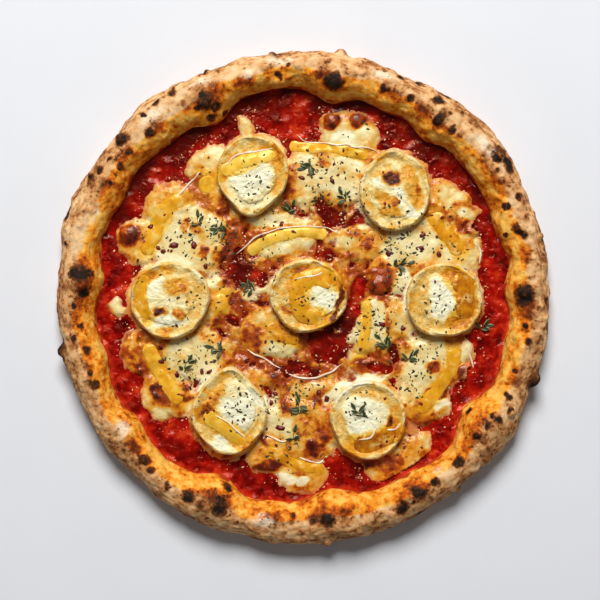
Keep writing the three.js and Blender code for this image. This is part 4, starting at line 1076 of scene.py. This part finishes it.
def mozzarella():
    side = np.arange(-CHEESE_REACH, CHEESE_REACH + CHEESE_CELL, CHEESE_CELL)
    x, y = np.meshgrid(side, side, indexing="ij")
    level, thick = melt_level(x, y)
    place = flat_points(x, y)
    body = CHEESE_BOTTOM - SAUCE_LEVEL + thick
    under = sauce_top(x, y)
    bed = under + (SAUCE_LEVEL - under) * smooth(level, 0, 4)
    top = bed + body * (1 - np.exp(-np.maximum(level, 0) / 3.0)) + 0.5 * np.minimum(level, 0)
    top += smooth(level, 0.5, 4) * (0.4 * fractal(place, 9, 231, 2) + 0.22 * fractal(place, 3, 241, 2))
    for bubble in BUBBLES:
        dome = 1 - reach_in(bubble, x, y) ** 2
        blown = CHEESE_BOTTOM + 0.5 + (bubble[5] - 0.5) * np.sqrt(np.abs(dome))
        top = np.where(dome > 0, np.maximum(top, blown), top)

    cook = cooked(x, y)
    for bubble_x, bubble_y, radius in small_bubbles():
        near = (np.abs(x - bubble_x) < radius + 1) & (np.abs(y - bubble_y) < radius + 1)
        dome = np.clip(1 - np.hypot(x[near] - bubble_x, y[near] - bubble_y) / radius, 0, 1)
        ready = smooth(cook[near], 0.28, 0.5) * smooth(level[near], 0.5, 1.5)
        top[near] += BUBBLE_LIFT * radius * np.sqrt(dome) * ready
        cook[near] += 0.2 * smooth(dome) * ready
    outer = smooth(np.hypot(x, y), 60, 85)
    oily = 0.75 * smooth(fractal(place, 12, 285, 3), 0.3, 0.8) * smooth(cook, 0.24, 0.38)
    masks = {
        "cook": cook,
        "honey": stain(*warped(x, y, 1.5, 8, 431, 2), HONEY + GOAT_HONEY, STAIN_FADE),
        "thin": smooth(4 - level, 0, 4) * (0.1 + 0.7 * outer),
        "lean": np.maximum(smooth(3.2 - level, 0, 3.4) * (0.95 - 0.7 * outer), oily),
    }

    # The cells that cheese covers, closed by an underside in the sauce and by walls round the edges.
    kept = (level > -1.0) & (np.hypot(x, y) < CHEESE_REACH)
    quads = grid_quads(*x.shape)
    quads = quads[kept.ravel()[quads].all(axis=1)]
    used, upper = np.unique(quads, return_inverse=True)
    upper, count = upper.reshape(-1, 4), len(used)
    points = np.stack([x, y, top], axis=-1).reshape(-1, 3)[used]
    floor = points.copy()
    floor[:, 2] = np.minimum(SAUCE_BOTTOM + 0.2, points[:, 2] - 0.5)
    start, end = np.concatenate([upper[:, [k, (k + 1) % 4]] for k in range(4)]).T
    free = ~np.isin(start * count + end, end * count + start)
    start, end = start[free], end[free]
    walls = np.stack([end, start, start + count, end + count], axis=-1)
    faces = np.concatenate([upper, upper[:, ::-1] + count, walls]).tolist()
    masks = {key: np.tile(values.ravel()[used], 2) for key, values in masks.items()}
    return add_piece("mozzarella_sheet", np.vstack([points, floor]), faces, mozzarella_skin(),
                     ["mozzarella", "mozzarella_islet_1"], masks)


# ---------------------------------------------------------------- goat cheese


def goat_round(index, material):
    middle_x, middle_y, across, along, core_x, core_y = GOATS[index]
    angle = np.arange(GOAT_COLUMNS) * 360 / GOAT_COLUMNS
    c, s = cos_sin(angle)
    corner = np.zeros(GOAT_COLUMNS)
    for at, half, out in GOAT_CORNERS[index]:
        corner += out / across * swell(angle, at, half)
    rows = []
    for row, (out, up, wave, shift) in enumerate(GOAT_SECTION, start=1):
        edge = out * (1 + corner + 0.025 * waver(angle, 3 * index + 0.15 * row))
        rows.append(np.stack([edge * across * c + shift * core_x, edge * along * s + shift * core_y,
                              up + wave * waver(angle, 5 * index + row)], axis=-1))
    grid = refine(np.stack(rows, axis=1), GOAT_FINENESS)[:, :-1]
    zone = np.concatenate([start + np.arange(count) / count for start, count in enumerate(GOAT_FINENESS)])
    lip = np.exp(-((zone - LIP_ROW) / LIP_SPREAD) ** 2)
    core = smooth(zone, *CORE_ROWS)
    place = grid + 50 * index
    crumb = 0.6 * fractal(place, 5, 301, 2) + 0.4 * fractal(place, 1.8, 311, 2)
    ruffle = 0.8 * fractal(place, 8, 321, 2) + 0.45 * fractal(place, 2.6, 331, 2)
    grid[..., 2] += crumb * core + ruffle * lip
    grid[..., :2] *= 1 + (0.022 * ruffle * smooth(zone, 0.5, 3) * smooth(6 - zone))[..., None]
    grid[..., 2] = np.maximum(grid[..., 2], 0)

    bent = grid + 1.8 * wander(place, 6, 351, 3)
    cook = 0.23 + 0.14 * fractal(place, 7, 361, 2) + 0.06 * lip
    ring = np.exp(-((zone - RING_ROW) / RING_SPREAD) ** 2)
    cook += (0.22 + 0.16 * fractal(place, 9, 341, 2)) * ring
    cook += 0.1 * smooth(2.2 - zone, 0, 2)
    # The folds of the lip are dented and coloured darker. The darker colour is painted shade in the
    # creases.
    fold = waver(3 * angle, 2 * index + 1)[:, None] + 0.8 * fractal(place, 3, 371, 2)
    cook += 0.22 * smooth(fold, 0.1, 0.8) * lip
    grid[..., 2] -= 0.5 * smooth(fold, 0.1, 0.8) * lip
    for kind, *ellipse in GOAT_MARKS[index]:
        cover = smooth(1.5 - reach_in(ellipse, bent[..., 0], bent[..., 1]), 0, 0.8)
        cook += (GOAT_COOKED[kind] - cook) * cover
    masks = {
        # cook holds the browning and also the painted shade of the folds.
        "cook": cook,
        "honey": stain(bent[..., 0] + middle_x, bent[..., 1] + middle_y, GOAT_HONEY, GOAT_STAIN_FADE),
    }
    columns, row_count = grid.shape[:2]
    low, high = len(zone) * columns, len(zone) * columns + 1
    top = grid[:, -1].mean(axis=0)
    points = np.vstack([grid.reshape(-1, 3), (0, 0, 0), top]) + (middle_x, middle_y, GOAT_BOTTOM)
    faces = wrapped_quads(columns, row_count) + pole_fans(columns, row_count, low, high)
    masks = {key: np.append(values, (values[0, 0], values[:, -1].mean())) for key, values in masks.items()}
    return add_piece(f"goat_round_{index + 1}", points, faces, material,
                     [f"goat_cheese_{index + 1}"], masks)


# ---------------------------------------------------------------- the surface that things lie on


class Ground:
    """Finds the uppermost surface of some pieces below a point."""

    def __init__(self, pieces):
        points, faces = [], []
        for piece in pieces:
            start = len(points)
            points += [tuple(vertex.co) for vertex in piece.data.vertices]
            faces += [[start + corner for corner in face.vertices] for face in piece.data.polygons]
        self.tree = BVHTree.FromPolygons(points, faces)

    def below(self, x, y):
        """Height in mm and the upward normal at a place."""
        hit, normal, _, _ = self.tree.ray_cast(Vector((x * MM, y * MM, 0.1)), Vector((0, 0, -1)))
        return hit.z / MM, np.array(normal)


def ribbon(ground, path, width, seed):
    """A low ribbon of honey with round ends: points, faces and how near its edge each point is."""
    line = curve(path, CURVE_STEP)
    along = np.gradient(line, axis=0)
    along /= np.linalg.norm(along, axis=1, keepdims=True)
    aside = np.stack([-along[:, 1], along[:, 0]], axis=1)
    run = np.concatenate([[0], np.cumsum(np.linalg.norm(np.diff(line, axis=0), axis=1))])
    end = np.minimum(run, run[-1] - run) / (0.5 * width)
    taper = np.sqrt(np.clip(1 - (1 - np.clip(end, 0.04, 1)) ** 2, 0, 1))
    uneven = 1.08 + 0.3 * noise(np.stack([run, run * 0 + seed, run * 0], axis=-1), 7, 401)
    half = 0.5 * width * taper * uneven
    across = np.linspace(-1, 1, RIBBON_COLUMNS)
    place = line[:, None] + aside[:, None] * (half[:, None] * across)[..., None]
    height = np.array([[ground.below(*point)[0] for point in row] for row in place])
    for _ in range(4):
        padded = np.pad(height, 1, mode="edge")
        height = (padded[:-2, 1:-1] + padded[2:, 1:-1] + padded[1:-1, :-2] + padded[1:-1, 2:]) / 4
    dome = HONEY_THICKNESS * (1.25 * taper[:, None] * (1 - np.abs(across) ** 3) - 0.25)
    rise = 0.14 * noise(np.concatenate([place, 0 * place[..., :1]], axis=-1), 5, 411)
    upper = np.concatenate([place, (height + dome + rise)[..., None]], axis=-1)
    lower = upper - (0, 0, HONEY_DEPTH_BELOW)
    points = np.concatenate([upper.reshape(-1, 3), lower.reshape(-1, 3)])
    near_edge = np.tile(np.abs(across), 2 * len(line))
    return points, sheet_faces(*place.shape[:2]), near_edge


def join(parts):
    """Joins lists of (points, faces, values) into one of each."""
    points, faces, values = [], [], []
    start = 0
    for part_points, part_faces, part_values in parts:
        points.append(part_points)
        faces += [tuple(start + corner for corner in face) for face in part_faces]
        values.append(part_values)
        start += len(part_points)
    return np.vstack(points), faces, np.concatenate(values)


def honey(ground):
    ribbons = HONEY + GOAT_HONEY
    parts = [ribbon(ground, path, width, seed) for seed, (width, path, _) in enumerate(ribbons)]
    deep = np.concatenate([np.full(len(part[0]), ribbon[2]) for part, ribbon in zip(parts, ribbons)])
    points, faces, edge = join(parts)
    return add_piece("honey_drizzle", points, faces, honey_skin(),
                     masks={"edge": edge, "deep": deep})


def tube(line, radii, sides=8):
    """A closed tube along points, with a radius at each."""
    along = np.gradient(line, axis=0)
    along /= np.linalg.norm(along, axis=1, keepdims=True)
    aside = np.cross(along, (0, 0, 1))
    aside /= np.linalg.norm(aside, axis=1, keepdims=True)
    up = np.cross(aside, along)
    turn = np.arange(sides) * 2 * math.pi / sides
    ring = aside[:, None] * np.cos(turn)[None, :, None] + up[:, None] * np.sin(turn)[None, :, None]
    points = (line[:, None] + ring * radii[:, None, None]).reshape(-1, 3)
    faces = [tuple(range(sides))[::-1], tuple((len(line) - 1) * sides + k for k in range(sides))]
    for i, k in itertools.product(range(len(line) - 1), range(sides)):
        here, over = i * sides + k, i * sides + (k + 1) % sides
        faces.append((here, over, over + sides, here + sides))
    return points, faces


def loose(name, parts, material):
    """Makes one piece of many small parts (points, faces)."""
    points, faces, _ = join([(points, faces, np.zeros(len(points))) for points, faces in parts])
    return add_piece(name, points, faces, material)


def threads(ground):
    parts = []
    for path in THREADS:
        flat = curve(path, CURVE_STEP)
        height = np.array([ground.below(*point)[0] for point in flat])
        height = np.convolve(np.pad(height, 3, mode="edge"), np.ones(7) / 7, mode="valid")
        line = np.column_stack([flat, height + 0.2 + 0.25 * noise(flat_points(*flat.T), 5, 421)])
        line[:, :2] += 0.9 * np.column_stack([noise(line, 7, 422), noise(line, 7, 423)])
        share = np.linspace(0, 1, len(line))
        radii = (0.12 + 0.5 * np.sqrt(np.sin(math.pi * share))) * (1 + 0.45 * noise(line, 4, 424))
        parts.append(tube(line, radii))
    return loose("cheese_strings_and_highlights", parts, thread_skin())


# ---------------------------------------------------------------- thyme, chili and herbs


def leaf(length, width, bend):
    """A thyme leaf along X: a thin closed sheet that is folded along its rib."""
    long_steps, wide_steps, thickness = 8, 6, 0.28
    t, v = np.meshgrid(np.linspace(0, 1, long_steps + 1), np.linspace(-1, 1, wide_steps + 1), indexing="ij")
    half = 0.5 * width * np.sin(math.pi * np.clip(t, 0.03, 0.985) ** 0.85) ** 0.75
    x, y = length * t, v * half
    z = 0.35 * half * (1 - v ** 2) - 0.16 * (1 - np.abs(v)) ** 3 + bend * t ** 2
    upper = np.stack([x, y, z + thickness / 2], axis=-1).reshape(-1, 3)
    lower = np.stack([x, y, z - thickness / 2 * (1 - np.abs(v) ** 4)], axis=-1).reshape(-1, 3)
    rib = np.tile(v.ravel() ** 2, 2)
    return np.concatenate([upper, lower]), sheet_faces(*v.shape), rib


def turned(points, angle):
    c, s = math.cos(angle), math.sin(angle)
    return points @ np.array([[c, s, 0], [-s, c, 0], [0, 0, 1]])


def tilted(points, roll, pitch):
    """Rolls points about X, then lifts their far end."""
    c, s = math.cos(roll), math.sin(roll)
    points = points @ np.array([[1, 0, 0], [0, c, s], [0, -s, c]])
    c, s = math.cos(pitch), math.sin(pitch)
    return points @ np.array([[c, 0, s], [0, 1, 0], [-s, 0, c]])


def sprig(index, ground, material):
    """Leaves in pairs along a stem, and one at its tip, laid on the cheese."""
    place_x, place_y, turn, pairs = SPRIGS[index]
    draw = random_from(31 + index)
    length = PAIR_SPACING * pairs
    parts = []
    for way in (-1, 1):
        for pair in range(pairs):
            direction = way * math.radians(15 + 85 * next(draw))
            size = LEAF_LENGTH * (0.6 + 0.6 * next(draw) ** 0.7)
            points, faces, rib = leaf(size, LEAF_WIDTH * (0.7 + 0.5 * next(draw)), 0.8 * next(draw))
            points = tilted(points, 1.8 * (next(draw) - 0.5), 0.4 * next(draw))
            shift = (0.85 * PAIR_SPACING * (pair + next(draw) - 0.5) + STEM_RADIUS - length / 2,
                     way * STEM_RADIUS, 0.5 * next(draw))
            if pair == 0 or next(draw) > 0.2:
                parts.append((turned(points, direction) + shift, faces, rib))
    points, faces, rib = leaf(0.95 * LEAF_LENGTH, LEAF_WIDTH, 0.5)
    points = turned(points, 0.5 * (next(draw) - 0.5)) + (0.35 * length - STEM_RADIUS, 0, 0)
    parts.append((points, faces, rib))
    bow = 0.5 * np.sin(np.linspace(0, 3, STEM_POINTS))
    along = np.linspace(-0.5 * length, 0.4 * length, STEM_POINTS)
    stem = np.column_stack([along, bow, np.full(STEM_POINTS, -0.05)])
    stem_points, stem_faces = tube(stem, np.linspace(0.24, 0.16, STEM_POINTS), STEM_SIDES)
    parts.append((stem_points, stem_faces, np.zeros(len(stem_points))))
    points, faces, rib = join(parts)
    stalk = np.arange(len(points)) >= len(points) - len(stem_points)
    points = turned(points, math.radians(turn)) + (place_x, place_y, 0)
    ground_height = np.array([ground.below(x, y)[0] for x, y, _ in points])
    middle = np.median(ground_height)
    points[:, 2] += np.clip(ground_height, middle - 0.8, middle + 0.8) * 0.5 + 0.5 * middle + 0.55
    return add_piece(f"thyme_sprig_{index + 1}", points, faces, material, [f"thyme_{index + 1}"],
                     {"rib": rib, "stalk": stalk})


def shard(sides, draw):
    """A flat uneven shard of unit length: points and faces."""
    angle = (np.arange(sides) + np.array([0.5 * next(draw) for _ in range(sides)])) * 2 * math.pi / sides
    reach = np.array([0.38 + 0.2 * next(draw) for _ in range(sides)])
    ring = np.column_stack([reach * np.cos(angle), reach * np.sin(angle), np.zeros(sides)])
    points = np.vstack([ring + (0, 0, -0.5), 0.86 * ring + (0, 0, 0.35), (0, 0, 0.5), (0, 0, -0.5)])
    faces = []
    for k in range(sides):
        over = (k + 1) % sides
        faces.append((k, over, over + sides, k + sides))
        faces.append((k + sides, over + sides, 2 * sides))
        faces.append((over, k, 2 * sides + 1))
    return points, faces


def laid(points, size, turn, x, y, ground, sunk):
    """Scales a shard and lays it flat on the surface below a place."""
    height, normal = ground.below(x, y)
    points = turned(points * size, turn)
    aside = np.cross((0, 1, 0), normal)
    aside /= np.linalg.norm(aside)
    basis = np.stack([aside, np.cross(normal, aside), normal])
    return points @ basis + (x, y, height + sunk * size[2])


def chili(ground):
    draw = random_from(71)
    places = [(x, y, math.radians(turn), length) for x, y, turn, length in FLAKES]
    while len(places) < CHILI_COUNT:
        x, y = disc_place(draw, CHILI_REACH)
        if depth_in_cheese(x, y) > 0.5:
            places.append((x, y, math.pi * next(draw), 0.8 + 1.7 * next(draw)))
    parts = []
    for x, y, turn, length in places:
        points, faces = shard(6, draw)
        size = 1.15 * length * np.array([1, 0.5 + 0.3 * next(draw), 0]) + (0, 0, 0.7)
        parts.append((laid(points, size, turn, x, y, ground, 0.3), faces))
    return loose("chili_flakes", parts, flake_skin())


def herbs(ground):
    draw = random_from(97)
    parts = []
    for middle_x, middle_y, spread, count in HERBS:
        for _ in range(count):
            x, y = np.add(disc_place(draw, spread, 0.8), (middle_x, middle_y))
            length = 0.9 + 2.4 * next(draw) ** 1.5
            breadth, turn = length * (0.32 + 0.35 * next(draw)), math.pi * next(draw)
            points, faces = shard(5, draw)
            if depth_in_cheese(x, y) > 0.3:
                size = np.array([length, max(breadth, 0.55), 0.3])
                parts.append((laid(points, size, turn, x, y, ground, 0.4), faces))
    return loose("herb_flecks", parts, fleck_skin())


def crumbs(ground):
    """Crumbs of cheese on the bare sauce near the melted cheese. Their pale specks also stand for small
    glints on the sauce, as painted highlight.
    """
    draw = random_from(113)
    parts = []
    while len(parts) < CRUMB_COUNT:
        x, y = disc_place(draw, CRUMB_REACH)
        size, turn = 0.5 + 1.1 * next(draw) ** 2, math.pi * next(draw)
        if -5 < depth_in_cheese(x, y) < 0.6:
            points, faces = shard(6, draw)
            size = size * np.array([1.3, 0.8, 0.5])
            parts.append((laid(points, size, turn, x, y, ground, 0.3), faces))
    return loose("cheese_crumbs_and_glints", parts, crumb_skin())


# ---------------------------------------------------------------- the studio


def floor():
    half = 3
    mesh = bpy.data.meshes.new("floor")
    corners = [(-half, -half, 0), (half, -half, 0), (half, half, 0), (-half, half, 0)]
    mesh.from_pydata(corners, [], [(0, 1, 2, 3)])
    skin = Skin("pale_floor", 0.6, Specular_IOR_Level=0.2)
    mesh.materials.append(skin.finish(skin.mix(skin.lumps(60), *FLOOR_COLORS)))
    plane = bpy.data.objects.new("floor", mesh)
    plane.location.z = -0.2 * MM
    bpy.context.scene.collection.objects.link(plane)


def light(name, energy, size, azimuth, elevation, distance):
    """A round light that points at the pizza from a direction in degrees; sizes in metres."""
    lamp = bpy.data.lights.new(name, "AREA")
    lamp.energy = energy
    lamp.shape = "DISK"
    lamp.size = size
    spot = bpy.data.objects.new(name, lamp)
    a, e = math.radians(azimuth), math.radians(elevation)
    spot.location = Vector((math.cos(e) * math.cos(a), math.cos(e) * math.sin(a), math.sin(e))) * distance
    spot.rotation_euler = spot.location.to_track_quat("Z", "Y").to_euler()
    bpy.context.scene.collection.objects.link(spot)


def studio():
    floor()
    light("key", energy=66.5, size=1.15, azimuth=94, elevation=50, distance=2.4)
    light("fill", energy=0.3, size=1.6, azimuth=250, elevation=62, distance=1.8)
    world = bpy.data.worlds.new("studio")
    world.use_nodes = True
    sky = world.node_tree.nodes["Background"]
    sky.inputs["Color"].default_value = SKY
    sky.inputs["Strength"].default_value = 0.1
    bpy.context.scene.world = world
    bpy.context.scene.view_settings.view_transform = "Standard"

    camera = bpy.data.cameras.new("camera")
    camera.lens = LENS
    camera.sensor_width = 36
    eye = bpy.data.objects.new("camera", camera)
    eye.location = EYE
    bpy.context.scene.collection.objects.link(eye)
    bpy.context.scene.camera = eye


# ---------------------------------------------------------------- all of it

studio()
crust()
soft = [sauce(), mozzarella()]
goat_material = goat_skin()
soft += [goat_round(index, goat_material) for index in range(len(GOATS))]
bare = Ground(soft)
drizzle = honey(bare)
threads(bare)
ground = Ground(soft + [drizzle])
leaf_material = leaf_skin()
for sprig_index in range(len(SPRIGS)):
    sprig(sprig_index, ground, leaf_material)
chili(ground)
herbs(ground)
crumbs(ground)
